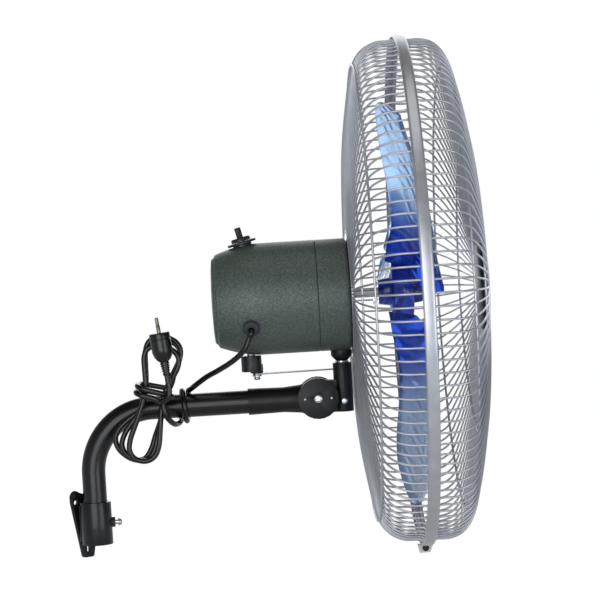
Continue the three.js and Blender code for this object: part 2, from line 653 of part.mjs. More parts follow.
// Gearbox of the swing drive: a box behind the endshield with the worm wheel standing in it.
const boxFront = shieldX - SEAT_GAP;
const boxRear = boxFront - GEARBOX_LENGTH;
const wheelTop = -SHAFT_RADIUS - 2;
const boxFloor = wheelTop - WORM_WHEEL_HEIGHT - 8;
function gearbox() {
  const half = GEARBOX_HALF_WIDTH;
  const box = solid(block(boxRear, boxFront, -half, half, boxFloor, GEARBOX_TOP));
  const room = solid(block(boxRear - 1, boxFront - 3, -half + 3, half - 3, boxFloor + 3, GEARBOX_TOP - 3));
  const shaftHole = solid(turnedX(rod(boxRear - 5, boxFront + 5, SHAFT_RADIUS + 1), 16));
  const crankHole = solid(turnedZ(rod(boxFloor - 5, 0, CRANK_SHAFT_RADIUS + RUNNING_GAP), 16)
    .translate(CRANK_X, 0, 0));
  return piece("gearbox_housing", cut(box, room, shaftHole, crankHole), CAST_ALUMINIUM);
}

// Pivot under the motor: a cup against the shell, and the post that turns in the neck.
const cupTop = -Math.sqrt(MOTOR_RADIUS ** 2 - CUP_RADIUS ** 2) - SEAT_GAP;
const postTop = -MOTOR_RADIUS - SEAT_GAP;
const neckTopInHead = NECK_TOP - FAN_AXIS_Z;
const cupFoot = neckTopInHead + 2 * SEAT_GAP + PIVOT_WASHER;
function pivot() {
  const shellRoom = turnedX(rod(-40, 40, MOTOR_RADIUS + SEAT_GAP), 28);
  const cup = solid(turnedZ([
    [cupFoot, NECK_BORE_RADIUS + SEAT_GAP],
    [cupFoot, CUP_FOOT_RADIUS],
    [cupFoot + CUP_HEIGHT * 0.35, CUP_RADIUS * 0.85],
    [cupFoot + CUP_HEIGHT * 0.6, CUP_RADIUS],
    [cupTop + 1.5, CUP_RADIUS],
    [cupTop + 1.5, NECK_BORE_RADIUS + SEAT_GAP],
    [cupFoot, NECK_BORE_RADIUS + SEAT_GAP],
  ], 20));
  const post = solid(turnedZ(rod(postEnd - FAN_AXIS_Z, postTop, NECK_BORE_RADIUS), 24));
  return group(
    piece("pivot_cup", cut(cup, solid(shellRoom)), BLACK_ENAMEL),
    piece("pivot_post", post, STEEL),
  );
}

// Crank drive: worm wheel, upright shaft, crank disc with its boss, and the screw that holds the link.
const linkZ = ARM_HEIGHT + LINK_RISE - FAN_AXIS_Z;
const bossFoot = linkZ + LINK_THICKNESS + SEAT_GAP;
const crankFoot = bossFoot + CRANK_BOSS_DROP;
const crankHead = crankFoot + CRANK_HEIGHT;
const crankAngle = rad(CRANK_REST_DEG);
const pinX = CRANK_THROW * Math.cos(crankAngle);
const pinY = CRANK_THROW * Math.sin(crankAngle);
function crankDrive() {
  const bossTop = crankFoot + CRANK_HEIGHT * 0.4;
  const disc = solid(turnedZ(rod(crankFoot, crankHead, CRANK_RADIUS), 28));
  const boss = solid(turnedZ(rod(bossFoot, bossTop, CRANK_BOSS_RADIUS), 20).translate(pinX, pinY, 0));
  const shaftHole = solid(turnedZ(rod(crankFoot + 4, crankHead + 1, CRANK_SHAFT_RADIUS + SEAT_GAP), 16));
  const pinHole = solid(turnedZ(rod(bossFoot - 1, bossTop - 2, CRANK_SCREW_RADIUS + SEAT_GAP), 12)
    .translate(pinX, pinY, 0));
  const shaft = solid(turnedZ(rod(crankFoot + 4 + SEAT_GAP, wheelTop, CRANK_SHAFT_RADIUS), 16));
  const screwSeat = linkZ - SEAT_GAP;
  const screw = join(
    solid(turnedZ(rod(screwSeat - 1, bossTop - 3, CRANK_SCREW_RADIUS), 12)),
    solid(turnedZ([
      [screwSeat - CRANK_SCREW_HEAD, 0],
      [screwSeat - CRANK_SCREW_HEAD, CRANK_SCREW_HEAD_RADIUS * 0.6],
      [screwSeat - CRANK_SCREW_HEAD * 0.6, CRANK_SCREW_HEAD_RADIUS * 0.75],
      [screwSeat - 1.5, CRANK_SCREW_HEAD_RADIUS * 0.7],
      [screwSeat - 1.5, CRANK_SCREW_HEAD_RADIUS],
      [screwSeat, CRANK_SCREW_HEAD_RADIUS],
      [screwSeat, 0],
    ], 16)),
  );
  const made = group(
    piece("crank", cut(join(disc, boss), shaftHole, pinHole), BLACK_ENAMEL),
    piece("crank_shaft", shaft, STEEL),
    wormWheel(),
    placed(piece("crank_screw", screw, ZINC), pinX, pinY, 0),
  );
  return placed(made, CRANK_X, 0, 0);
}

function wormWheel() {
  const outline = new THREE.Shape();
  for (let i = 0; i < WORM_WHEEL_TEETH * 2; i++) {
    const r = i % 2 ? WORM_WHEEL_RADIUS : WORM_WHEEL_RADIUS - 1.6;
    const a = (Math.PI * i) / WORM_WHEEL_TEETH;
    if (i) outline.lineTo(r * Math.cos(a), r * Math.sin(a));
    else outline.moveTo(r, 0);
  }
  const bore = new THREE.Path();
  bore.absarc(0, 0, CRANK_SHAFT_RADIUS + SEAT_GAP, 0, 2 * Math.PI, true);
  outline.holes.push(bore);
  const wheel = plateZ(outline, WORM_WHEEL_HEIGHT, 8).translate(0, 0, wheelTop - WORM_WHEEL_HEIGHT);
  return piece("worm_wheel", solid(wheel), BRASS);
}

// The link from the crank's pin to the lug on the neck, a flat strip with a round end at each.
function linkBar() {
  const [farX, farY] = [-CRANK_X - pinX, LUG_OFFSET - pinY];
  const length = Math.hypot(farX, farY);
  const bearing = Math.atan2(farY, farX);
  const outline = new THREE.Shape();
  outline.absarc(0, 0, LINK_HALF_WIDTH + 1, Math.PI / 2, -Math.PI / 2, false);
  outline.absarc(length, 0, LINK_HALF_WIDTH, -Math.PI / 2, Math.PI / 2, false);
  const eye = new THREE.Path();
  eye.absarc(0, 0, CRANK_SCREW_RADIUS + SEAT_GAP, 0, 2 * Math.PI, true);
  outline.holes.push(eye);
  const strip = plateZ(outline, LINK_THICKNESS, 8).rotateZ(bearing);
  return placed(piece("link_bar", solid(strip), STEEL), CRANK_X + pinX, pinY, linkZ);
}

// Rotary switch: its body hangs inside the shell under a round plate, on the leaning top of the taper.
const switchLean = -rad(SWITCH_TILT_DEG);
const switchSeatZ = shellRadius(SWITCH_X) + SWITCH_SEAT_RISE;
function switchHole() {
  const hole = turnedZ(rod(-SWITCH_BODY_DEPTH - 5, 8, SWITCH_BODY_RADIUS + SEAT_GAP), 24);
  return solid(hole.rotateY(switchLean).translate(SWITCH_X, 0, switchSeatZ));
}
const switchFloor = -SWITCH_BODY_DEPTH;
function switchSet() {
  const stem = 3;
  const bodyTop = -SEAT_GAP;
  const made = group(
    piece("switch_body", solid(turnedZ(rod(switchFloor, bodyTop, SWITCH_BODY_RADIUS), 24)), BLACK_PLASTIC),
    piece("switch_plate", solid(turnedZ(ring(0, SWITCH_PLATE, stem + 1.5, SWITCH_PLATE_RADIUS), 24)),
      BLACK_PLASTIC),
    switchKnob(),
  );
  made.rotation.y = switchLean;
  return placed(made, SWITCH_X, 0, switchSeatZ);
}

function switchKnob() {
  const base = SWITCH_PLATE + RUNNING_GAP;
  const barHalf = KNOB_BAR_WIDTH / 2;
  const skirt = solid(turnedZ([
    [base, 0], [base, KNOB_RADIUS], [base + KNOB_BASE * 0.6, KNOB_RADIUS],
    [base + KNOB_BASE, KNOB_RADIUS - 1.5], [base + KNOB_BASE, 0],
  ], 28));
  const side = new THREE.Shape();
  side.moveTo(-KNOB_RADIUS + 1, base + 1);
  side.lineTo(KNOB_RADIUS - 1, base + 1);
  side.lineTo(KNOB_RADIUS - 2.5, base + KNOB_BASE + KNOB_BAR_HEIGHT - 2);
  side.lineTo(KNOB_RADIUS - 5, base + KNOB_BASE + KNOB_BAR_HEIGHT);
  side.lineTo(-KNOB_RADIUS + 5, base + KNOB_BASE + KNOB_BAR_HEIGHT);
  side.lineTo(-KNOB_RADIUS + 2.5, base + KNOB_BASE + KNOB_BAR_HEIGHT - 2);
  const bar = solid(plateX(side, KNOB_BAR_WIDTH).translate(-barHalf, 0, 0));
  return piece("switch_knob", join(skirt, bar), BLACK_PLASTIC);
}

function capacitor() {
  const [long, wide, high] = CAPACITOR_SIZE;
  const x = boxRear;
  const y = GEARBOX_HALF_WIDTH + SEAT_GAP;
  return piece("capacitor", solid(block(x, x + long, y, y + wide, -high / 2, high / 2)), BLACK_PLASTIC);
}

// Grommet in the shell's side, and the frame it stands in: its own x points out of the shell.
const grommetAngle = -rad(GROMMET_DROP_DEG);
const outward = v3(0, -Math.cos(grommetAngle), Math.sin(grommetAngle));
const grommetSeat = shellRadius(GROMMET_X);
function alongGrommet(geometry) {
  const turn = new THREE.Quaternion().setFromUnitVectors(v3(1, 0, 0), outward);
  return geometry.applyQuaternion(turn).translate(GROMMET_X, 0, 0);
}
const grommetNeck = GROMMET_RADIUS - 4;
function grommetHole() {
  return solid(alongGrommet(turnedX(rod(20, MOTOR_RADIUS + 20, grommetNeck + SEAT_GAP), 20)));
}
function grommet() {
  const bore = CORD_RADIUS + SEAT_GAP;
  const seat = grommetSeat + 1.6;
  const profile = [
    [seat - GROMMET_LENGTH, bore],
    [seat - GROMMET_LENGTH, grommetNeck],
    [seat, grommetNeck],
    [seat, GROMMET_RADIUS],
    [seat + GROMMET_STAND * 0.5, GROMMET_RADIUS],
    [seat + GROMMET_STAND, GROMMET_RADIUS - 4],
    [seat + GROMMET_STAND, bore],
    [seat - GROMMET_LENGTH, bore],
  ];
  return piece("cord_grommet", solid(alongGrommet(turnedX(profile, 20))), GREY_RUBBER);
}

// ---- Guards, x from the ring's plane ------------------------------------------------------------
const rimRadius = RING_RADIUS - RING_WALL - SEAT_GAP - RIM_WIRE_RADIUS;
const rimX = RING_HALF_WIDTH - RING_WALL - SEAT_GAP - RIM_WIRE_RADIUS;

function hoop(x, radius, wire) {
  const sides = 3;
  const around = Array.from({ length: sides + 1 }, (_, i) => rad((360 * i) / sides));
  const hooped = around.map((a) => [x + wire * Math.cos(a), radius + wire * Math.sin(a)]);
  return turnedX(hooped, WIRE_COUNT);
}

// One three-sided wire through the profile's [x, radius] points, standing along +z.
function guardWire(profile) {
  const points = profile.map(([x, r]) => v3(x, 0, r));
  const side = v3(0, 1, 0);
  return loft(points.map((point, i) => {
    const ahead = points[Math.min(i + 1, points.length - 1)];
    const along = ahead.clone().sub(points[Math.max(i - 1, 0)]).normalize();
    const rise = along.clone().cross(side);
    return [30, 150, 270].map(rad).map((a) => point.clone()
      .addScaledVector(side, WIRE_RADIUS * Math.cos(a))
      .addScaledVector(rise, WIRE_RADIUS * Math.sin(a)));
  }));
}

// Wires all round, welded to hoops of [x, radius, wire radius].
function grille(profile, hoops) {
  const wire = guardWire(profile);
  const turns = Array.from({ length: WIRE_COUNT }, (_, i) => (2 * Math.PI * i) / WIRE_COUNT);
  const wires = turns.map((turn) => solid(wire.clone().rotateX(turn)));
  const rings = hoops.map(([x, r, thick]) => solid(hoop(x, r, thick)));
  return join(rings[0], ...wires, ...rings.slice(1));
}

const bendsIn = (bends) => bends.map(([x, inset]) => [x, RING_RADIUS - inset]);
const [lipX, lipInset] = GUARD_LIP;
const rearBends = bendsIn([[-lipX, lipInset], ...GUARD_BENDS_REAR]);
const frontBends = bendsIn([GUARD_LIP, ...GUARD_BENDS_FRONT]);
const rearProfile = [[-rimX, rimRadius], ...rearBends, [-GUARD_DEPTH_REAR, GUARD_EYE_REAR]];
const frontProfile = [[rimX, rimRadius], ...frontBends, [GUARD_DEPTH_FRONT - 1, GUARD_EYE_FRONT]];

function guardRear() {
  const [shoulderX, shoulder] = rearBends[2];
  const made = grille(rearProfile, [
    [-rimX, rimRadius, RIM_WIRE_RADIUS],
    [shoulderX - WIRE_RADIUS, shoulder, WIRE_RADIUS],
    [-GUARD_DEPTH_REAR, GUARD_EYE_REAR, RIM_WIRE_RADIUS],
  ]);
  return piece("guard_rear", made, WIRE_SILVER);
}

function guardFront() {
  const [, , [shoulderX, shoulder], , [waistX, waist]] = frontBends;
  const made = grille(frontProfile, [
    [rimX, rimRadius, RIM_WIRE_RADIUS],
    [shoulderX + WIRE_RADIUS, shoulder, WIRE_RADIUS],
    [waistX - WIRE_RADIUS, waist, WIRE_RADIUS],
    [GUARD_DEPTH_FRONT - 1, GUARD_EYE_FRONT, RIM_WIRE_RADIUS],
  ]);
  return piece("guard_front", made, WIRE_SILVER);
}

// The clamping ring: a channel that holds both guards' rims, open towards the fan's axis.
function guardRing() {
  const [half, wall] = [RING_HALF_WIDTH, RING_WALL];
  const lip = RING_RADIUS - RING_LIP;
  const profile = [
    [-half, lip], [-half + 0.7, RING_RADIUS], [half - 0.7, RING_RADIUS], [half, lip],
    [half - wall, lip], [half - wall, RING_RADIUS - wall],
    [-half + wall, RING_RADIUS - wall], [-half + wall, lip], [-half, lip],
  ];
  return piece("guard_ring", solid(turnedX(profile, 2 * WIRE_COUNT)), ZINC);
}

// The catch under the ring: a pale tapered block and the screw that draws the ring shut.
function ringClip() {
  const top = -RING_RADIUS - SEAT_GAP - 0.4;
  const foot = -RING_RADIUS - CLIP_DROP;
  const outline = new THREE.Shape();
  outline.moveTo(-CLIP_HALF_WIDTH, top);
  outline.lineTo(-CLIP_HALF_WIDTH * 0.75, foot);
  outline.lineTo(CLIP_HALF_WIDTH * 0.55, foot);
  outline.lineTo(CLIP_HALF_WIDTH, top);
  const half = CLIP_THICKNESS * 1.5;
  const body = solid(new THREE.ExtrudeGeometry(outline, { depth: 2 * half, bevelEnabled: false })
    .rotateX(Math.PI / 2).translate(0, half, 0));
  const screwZ = (top + foot) / 2 + 1;
  const hole = solid(turnedY(rod(-half - 1, half + 1, CLIP_SCREW_RADIUS + SEAT_GAP), 12)
    .translate(0, 0, screwZ));
  const screw = join(
    solid(turnedY(rod(-half - 1, half + 1, CLIP_SCREW_RADIUS), 12)),
    solid(turnedY(rod(-half - SEAT_GAP - 2.5, -half - SEAT_GAP, CLIP_SCREW_RADIUS * 1.7), 12)),
  );
  return group(
    piece("ring_clip", cut(body, hole), PALE_PLASTIC),
    placed(piece("clip_screw", screw, BLACK_ENAMEL), 0, 0, screwZ),
  );
}

function badge() {
  const front = GUARD_DEPTH_FRONT - 1;
  const back = front - BADGE_THICKNESS;
  const hoopFlat = GUARD_EYE_FRONT - RIM_WIRE_RADIUS / 2; // the hoop's three-sided section lies flat inwards
  const edge = hoopFlat * Math.cos(Math.PI / WIRE_COUNT) - SEAT_GAP;
  const profile = [
    [back, 0], [back, edge - 3], [back + 2, edge], [front - 2, edge], [front, edge - 6],
    [front + 1.5, edge * 0.5], [front + 2, 0],
  ];
  return piece("badge_disc", solid(turnedX(profile, 28)), BLACK_PLASTIC);
}

// The rear guard's pressed centre plate and the screws that fix it to the motor's face.
function guardMount() {
  const back = MOTOR_FRONT + SEAT_GAP;
  const front = back + MOUNT_PLATE;
  const outer = GUARD_EYE_REAR - RIM_WIRE_RADIUS - 1.2;
  const disc = solid(turnedX(ring(back, front, noseBore + 2, outer), 28));
  const holes = mountScrewPlaces().map(([y, z]) =>
    solid(turnedX(rod(back - 1, front + 1, MOUNT_SCREW_RADIUS + SEAT_GAP), 10).translate(0, y, z)));
  const screws = mountScrewPlaces().map(([y, z], i) => {
    const seat = front + SEAT_GAP;
    const screw = join(
      solid(turnedX(rod(MOTOR_FRONT - 6, seat + 1, MOUNT_SCREW_RADIUS), 10)),
      solid(turnedX(rod(seat, seat + 2.6, MOUNT_SCREW_HEAD_RADIUS), 14)),
    );
    return placed(piece(`guard_screw_${i + 1}`, screw, ZINC), 0, y, z);
  });
  return group(piece("guard_mount_plate", cut(disc, ...holes), ZINC), ...screws);
}

function guards() {
  return placed(group(guardRear(), guardFront(), guardRing(), ringClip(), badge()), RING_X, 0, 0);
}

// ---- Rotor: shaft, motor rotor and impeller -----------------------------------------------------
const shaftFront = RING_X + HUB_FRONT + NUT_LENGTH - 4;
function rotor() {
  const shaft = solid(turnedX(rod(SHAFT_REAR, shaftFront, SHAFT_RADIUS), 20));
  const bore = SHAFT_RADIUS + SEAT_GAP;
  const coreProfile = ring(statorRear, STATOR_FRONT, bore, STATOR_BORE - RUNNING_GAP);
  const impellerMesh = placed(piece("impeller", impeller(), BLADE_BLUE), RING_X, 0, 0);
  impellerMesh.rotation.x = rad(BLADE_REST_DEG);
  return group(
    piece("motor_shaft", shaft, STEEL),
    piece("rotor_core", solid(turnedX(coreProfile, 24)), CORE_STEEL),
    impellerMesh,
    spinner(),
  );
}

function spinner() {
  const seat = RING_X + HUB_FRONT + SEAT_GAP;
  const bore = SHAFT_RADIUS + SEAT_GAP;
  const profile = [
    [seat, bore], [seat, NUT_RADIUS], [seat + NUT_LENGTH * 0.5, NUT_RADIUS - 1],
    [seat + NUT_LENGTH * 0.85, NUT_RADIUS * 0.6], [seat + NUT_LENGTH, 0],
    [shaftFront + SEAT_GAP, 0], [shaftFront + SEAT_GAP, bore], [seat, bore],
  ];
  return piece("spinner_nut", solid(turnedX(profile, 20)),
    BLADE_BLUE);
}

// One blade, pointing along +y: a broad lobe by the hub in front, swept back to a round tip.
function blade() {
  const from = HUB_RADIUS - 6;
  const span = BLADE_TIP - from;
  const sections = BLADE_SECTIONS.map(([share, front, rear, pitchDeg]) => {
    const r = from + share * span;
    const pitch = rad(pitchDeg);
    const camber = BLADE_CAMBER * (1 - 0.3 * share);
    const across = [-1, -0.4, 0.4, 1];
    const surface = (lift) => across.map((u) => {
      const flat = (u * (front + rear) + front - rear) / 2;
      const bow = camber * (1 - u * u) + lift * (1 - 0.45 * u * u);
      const x = flat * Math.sin(pitch) + bow * Math.cos(pitch);
      const z = flat * Math.cos(pitch) - bow * Math.sin(pitch);
      return v3(x - BLADE_SET_BACK, r, z);
    });
    return [...surface(-BLADE_THICKNESS / 2), ...surface(BLADE_THICKNESS / 2).reverse()];
  });
  return loft(sections);
}

function impeller() {
  const profile = [
    [HUB_REAR, SHAFT_RADIUS + SEAT_GAP], [HUB_REAR, 16], [HUB_REAR + 14, 18], [HUB_REAR + 18, HUB_RADIUS],
    [HUB_FRONT - 3, HUB_RADIUS - 2], [HUB_FRONT, HUB_RADIUS - 6], [HUB_FRONT, SHAFT_RADIUS + SEAT_GAP],
    [HUB_REAR, SHAFT_RADIUS + SEAT_GAP],
  ];
  const bore = solid(turnedX(rod(HUB_REAR - 20, HUB_FRONT + 30, SHAFT_RADIUS + SEAT_GAP), 20));
  const blades = Array.from({ length: BLADE_COUNT }, (_, i) =>
    solid(blade().rotateX((2 * Math.PI * i) / BLADE_COUNT)));
  return cut(join(solid(turnedX(profile, 24)), ...blades), bore);
}

// ---- Cord, in the arm's frame -------------------------------------------------------------------
// One lead: out of the grommet, down to the arm, round it, into the hank's turns and wraps, and up to
// the plug. The free run is in two lengths, one moving with the head and one with the neck.
const cordExit = outward.clone()
  .multiplyScalar(grommetSeat + 1.6 + GROMMET_STAND + SEAT_GAP)
  .add(v3(SWING_X + GROMMET_X, 0, FAN_AXIS_Z));
const turnsRadius = ARM_RADIUS + CORD_RADIUS + 0.9;
const turnsPitch = 2 * CORD_RADIUS + 1.2;
const turnsStart = v3(TURNS_X, 0, ARM_HEIGHT + turnsRadius);
const leadIn = v3(...TURNS_LEAD).normalize();
const hankStart = turnsStart.clone().add(v3(...TURNS_OFFSET)).addScaledVector(leadIn, -2 * CORD_RADIUS);
const aboveArm = ([x, y, rise]) => v3(x, y, ARM_HEIGHT + rise);
const runMiddle = aboveArm(RUN_MIDDLE);
const runOne = [
  cordExit,
  cordExit.clone().addScaledVector(outward, RUN_LEAD),
  ...RUN_ONE_BENDS.map((offset) => cordExit.clone().add(v3(...offset))),
  runMiddle,
];
const runTwo = [...RUN_TWO_BENDS.map(aboveArm), hankStart.clone().addScaledVector(leadIn, -RUN_TAIL)];

// The hank's middle line at a share of its turns: up its right side, over, down the left and under.
const upperAxis = rad(75);
function hankPoint(turn) {
  const phase = 2 * Math.PI * turn - Math.PI / 2;
  const progress = turn / HANK_TURNS;
  const upper = Math.cos(phase) > 0;
  const reach = upper ? 62 + 16 * Math.sin(Math.PI * progress) : 80 + 3 * progress;
  const swell = upper ? 38 : 24 + 24 * progress;
  const lean = upper ? 0 : rad(-8 + 34 * progress);
  const [c, s] = [Math.cos(phase), Math.sin(phase)];
  const along = reach * c;
  const aside = -s * (HANK_WAIST_HALF_WIDTH + swell * c * c);
  const bend = lean * THREE.MathUtils.smoothstep(-along, 10, 48);
  const waist = v3(HANK_WAIST[0], 0, ARM_HEIGHT + HANK_WAIST[1]);
  const axis = (a) => v3(Math.cos(a), 0, Math.sin(a));
  const spine = waist.addScaledVector(axis(upperAxis), Math.max(along, -16));
  if (along < -16) spine.addScaledVector(axis(upperAxis - bend * 0.75), along + 16);
  spine.addScaledVector(axis(upperAxis - bend - Math.PI / 2), aside);
  spine.y = hankFront + HANK_LAYER * turn;
  return spine;
}

const hankBack = -(turnsRadius + 2 * CORD_RADIUS + 5);
const hankFront = hankBack - HANK_LAYER * HANK_TURNS;
const wrapAside = HANK_WAIST_HALF_WIDTH + 2 * CORD_RADIUS + 4;
const wrapDeep = (hankBack - hankFront) / 2 + 2 * CORD_RADIUS + 1.8;
const squared = (share) => Math.sign(share) * Math.sqrt(Math.abs(share));
function wrapPoint(wrap) {
  const phase = 2 * Math.PI * wrap;
  const centre = v3(HANK_WAIST[0], (hankBack + hankFront) / 2, ARM_HEIGHT + HANK_WAIST[1]);
  return centre
    .addScaledVector(v3(Math.cos(upperAxis), 0, Math.sin(upperAxis)), 15 - turnsPitch * wrap)
    .addScaledVector(v3(Math.sin(upperAxis), 0, -Math.cos(upperAxis)), wrapAside * squared(Math.cos(phase)))
    .add(v3(0, wrapDeep * squared(Math.sin(phase)), 0));
}

const plugY = (hankBack + hankFront) / 2 - wrapDeep - 2 * CORD_RADIUS - 2;
const plugFoot = v3(PLUG_AT[0], plugY, ARM_HEIGHT + PLUG_AT[1]);
const plugAxis = v3(Math.cos(rad(PLUG_LEAN_DEG)), 0, Math.sin(rad(PLUG_LEAN_DEG)));
function hankRoute() {
  const points = [hankStart, hankStart.clone().addScaledVector(leadIn, 2 * CORD_RADIUS)];
  const perTurn = 24;
  for (let i = 1; i <= TUBE_TURNS * perTurn; i++) {
    const a = Math.PI / 2 + (2 * Math.PI * i) / perTurn;
    points.push(v3(turnsStart.x - (turnsPitch * i) / perTurn,
      -turnsRadius * Math.cos(a), ARM_HEIGHT + turnsRadius * Math.sin(a)));
  }
  const leave = points.at(-1);
  points.push(v3(leave.x - 2, -19, leave.z - 1), v3(leave.x - 8, -42, leave.z + 1));
  points.push(v3(leave.x - 16, hankFront - 1, leave.z + 13));
  for (let i = 0; i <= HANK_TURNS * perTurn + 2; i++) points.push(hankPoint(i / perTurn));
  for (let i = 4; i <= (HANK_WRAPS - 0.25) * perTurn; i++) points.push(wrapPoint(i / perTurn));
  const end = points.at(-1);
  points.push(v3(end.x + 10, end.y - 3, end.z - 4), v3(end.x + 19, end.y - 8.5, end.z + 1));
  for (const before of [16, 7, 0]) points.push(plugFoot.clone().addScaledVector(plugAxis, -before));
  return points;
}

function leastGap(points, radius) {
  const step = 2;
  const line = new THREE.CatmullRomCurve3(points, false, "centripetal");
  const samples = line.getSpacedPoints(Math.round(line.getLength() / step));
  let least = Infinity;
  let place = "";
  const apart = Math.ceil((Math.PI * 2 * radius) / step) + 4;
  for (let i = 0; i < samples.length; i++)
    for (let j = i + apart; j < samples.length; j++) {
      const gap = samples[i].distanceTo(samples[j]) - 2 * radius;
      if (gap < least) {
        least = gap;
        place = `${i * step} and ${j * step} mm along`;
      }
    }
  return { least, place };
}

function cordTube(name, points, sides, steps) {
  return piece(name, solid(tube(points, CORD_RADIUS, sides, steps)), CORD_BLACK);
}

// A stretch's last point drawn back along the line, so that two stretches meet face to face.
function shortened(points, gap) {
  const [before, last] = points.slice(-2);
  const back = before.clone().sub(last).setLength(gap);
  return [...points.slice(0, -1), last.clone().add(back)];
}

function freeRuns() {
  const join1 = runTwo[0].clone().lerp(runMiddle, 0.5);
  return {
    one: cordTube("cord_run_1", shortened([...runOne, join1], SEAT_GAP), 8, 14),
    two: cordTube("cord_run_2", shortened([join1, ...runTwo, hankStart], SEAT_GAP), 8, 12),
  };
}

function hank() {
  const route = hankRoute();
  const { least, place } = leastGap(route, CORD_RADIUS);
  const long = new THREE.CatmullRomCurve3(route, false, "centripetal").getLength();
  console.log(`cord_hank: ${long.toFixed(0)} mm long, least gap to itself ${least.toFixed(2)} mm`, place);
  const turns = TUBE_TURNS + HANK_TURNS + HANK_WRAPS;
  return cordTube("cord_hank", shortened(route, SEAT_GAP), 6, Math.round(20 * turns));
}

function plug() {
  const relief = 18;
  const nose = relief + PLUG_LENGTH;
  const body = solid(turnedZ([
    [0, 0], [0, CORD_RADIUS + 1], [relief, CORD_RADIUS + 3], [relief + 3, PLUG_RADIUS * 0.75],
    [relief + 14, PLUG_RADIUS], [nose - 3, PLUG_RADIUS], [nose, PLUG_RADIUS - 2], [nose, 0],
  ], 20));
  const pins = [-1, 1].map((side) =>
    solid(turnedZ(rod(nose - 2, nose + PLUG_PIN_LENGTH, PLUG_PIN_RADIUS), 10)
      .translate(0, side * PLUG_PIN_SPREAD * 0.6, 0)));
  const mesh = piece("power_plug", join(body, ...pins), CORD_BLACK);
  mesh.position.copy(plugFoot);
  mesh.rotation.y = rad(90 - PLUG_LEAN_DEG);
  return mesh;
}

// ---- Assembly -----------------------------------------------------------------------------------
function head() {
  const made = group(
    shellRear(), shellFront(), stator(), rearEndshield(),
    bearing("front_bearing", MOTOR_FRONT - 2 - BEARING_WIDTH + SEAT_GAP),
    bearing("rear_bearing", shieldX + SEAT_GAP),
    gearbox(), capacitor(), pivot(), crankDrive(), linkBar(), switchSet(), grommet(),
    guardMount(), guards(), rotor(),
  );
  return placed(made, SWING_X, 0, FAN_AXIS_Z);
}

function arm() {
  const runs = freeRuns();
  const made = group(
    armTube(), armKnuckle(), tiltBolt(), tiltNut(),
    neckYoke(), clampScrew(), pivotWasher(),
    head(), runs.one, runs.two, hank(), plug(),
  );
  made.position.set(socketX, 0, SOCKET_CENTRE_Z + ARM_DATUM_RISE);
  made.rotation.z = rad(ARM_TURN_DEG);
  return made;
}

const fan = group(bracket(), arm());
fan.name = "wall_fan";
export default fan;
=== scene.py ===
"""A wall mounted oscillating fan: its cord, wire guards, painted castings, motor, impeller and finishes.

Pieces are drawn in millimetres in the frame of what carries them, then placed in metres in the row's frame.
"""

import json
import math

import bmesh
import bpy
from bpy.props import FloatProperty, FloatVectorProperty, IntProperty, PointerProperty
from mathutils import Matrix, Vector


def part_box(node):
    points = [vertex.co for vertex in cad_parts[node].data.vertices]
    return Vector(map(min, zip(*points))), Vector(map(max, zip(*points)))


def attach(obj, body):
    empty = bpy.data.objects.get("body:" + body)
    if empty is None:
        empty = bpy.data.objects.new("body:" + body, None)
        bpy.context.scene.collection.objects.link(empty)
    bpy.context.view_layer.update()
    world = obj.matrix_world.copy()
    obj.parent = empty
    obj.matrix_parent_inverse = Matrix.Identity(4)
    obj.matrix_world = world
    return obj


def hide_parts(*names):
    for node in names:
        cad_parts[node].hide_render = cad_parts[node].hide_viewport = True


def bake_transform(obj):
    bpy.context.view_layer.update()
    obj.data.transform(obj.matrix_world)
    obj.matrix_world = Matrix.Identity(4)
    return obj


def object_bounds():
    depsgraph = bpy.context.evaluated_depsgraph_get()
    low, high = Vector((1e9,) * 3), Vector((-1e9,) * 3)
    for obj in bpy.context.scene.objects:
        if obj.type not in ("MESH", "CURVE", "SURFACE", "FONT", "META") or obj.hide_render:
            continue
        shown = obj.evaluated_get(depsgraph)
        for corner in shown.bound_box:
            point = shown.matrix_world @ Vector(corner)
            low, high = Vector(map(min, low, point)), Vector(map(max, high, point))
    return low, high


bl_info = {
    "name": "Wall Fan Finish",
    "version": (1, 0, 0),
    "blender": (4, 5, 0),
    "location": "View3D > Sidebar > Wall Fan",
    "description": "Finishes a wall mounted fan: cord, wire guards, castings, motor and impeller",
    "category": "Object",
}

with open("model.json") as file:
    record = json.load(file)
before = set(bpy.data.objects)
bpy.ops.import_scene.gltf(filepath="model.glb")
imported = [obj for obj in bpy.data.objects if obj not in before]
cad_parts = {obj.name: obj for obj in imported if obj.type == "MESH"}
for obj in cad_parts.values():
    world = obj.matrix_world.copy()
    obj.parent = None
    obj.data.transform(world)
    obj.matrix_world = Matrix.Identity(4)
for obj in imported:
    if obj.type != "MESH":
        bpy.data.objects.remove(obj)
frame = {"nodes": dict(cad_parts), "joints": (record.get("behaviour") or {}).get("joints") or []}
CAD_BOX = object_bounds()
JOINTS = {joint["name"]: joint for joint in frame["joints"]}
NODES = frame["nodes"]

# ---- Frames, all in millimetres with x along the arm ---------------------------------------------
MM = 0.001
FAN_AXIS = Vector(JOINTS["rotor_spin"]["axis"])
ARM_TURN = math.atan2(FAN_AXIS.y, FAN_AXIS.x)


def stand(joint, lean=0.0):
    """The frame that stands at a joint, leaning about its own y."""
    turn = Matrix.Rotation(ARM_TURN, 4, "Z") @ Matrix.Rotation(lean, 4, "Y")
    return Matrix.Translation(JOINTS[joint]["pos_m"]) @ turn @ Matrix.Scale(MM, 4)


def middle_of(node):
    """The middle of a CAD node's box, in metres."""
    low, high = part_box(node)
    return (low + high) / 2


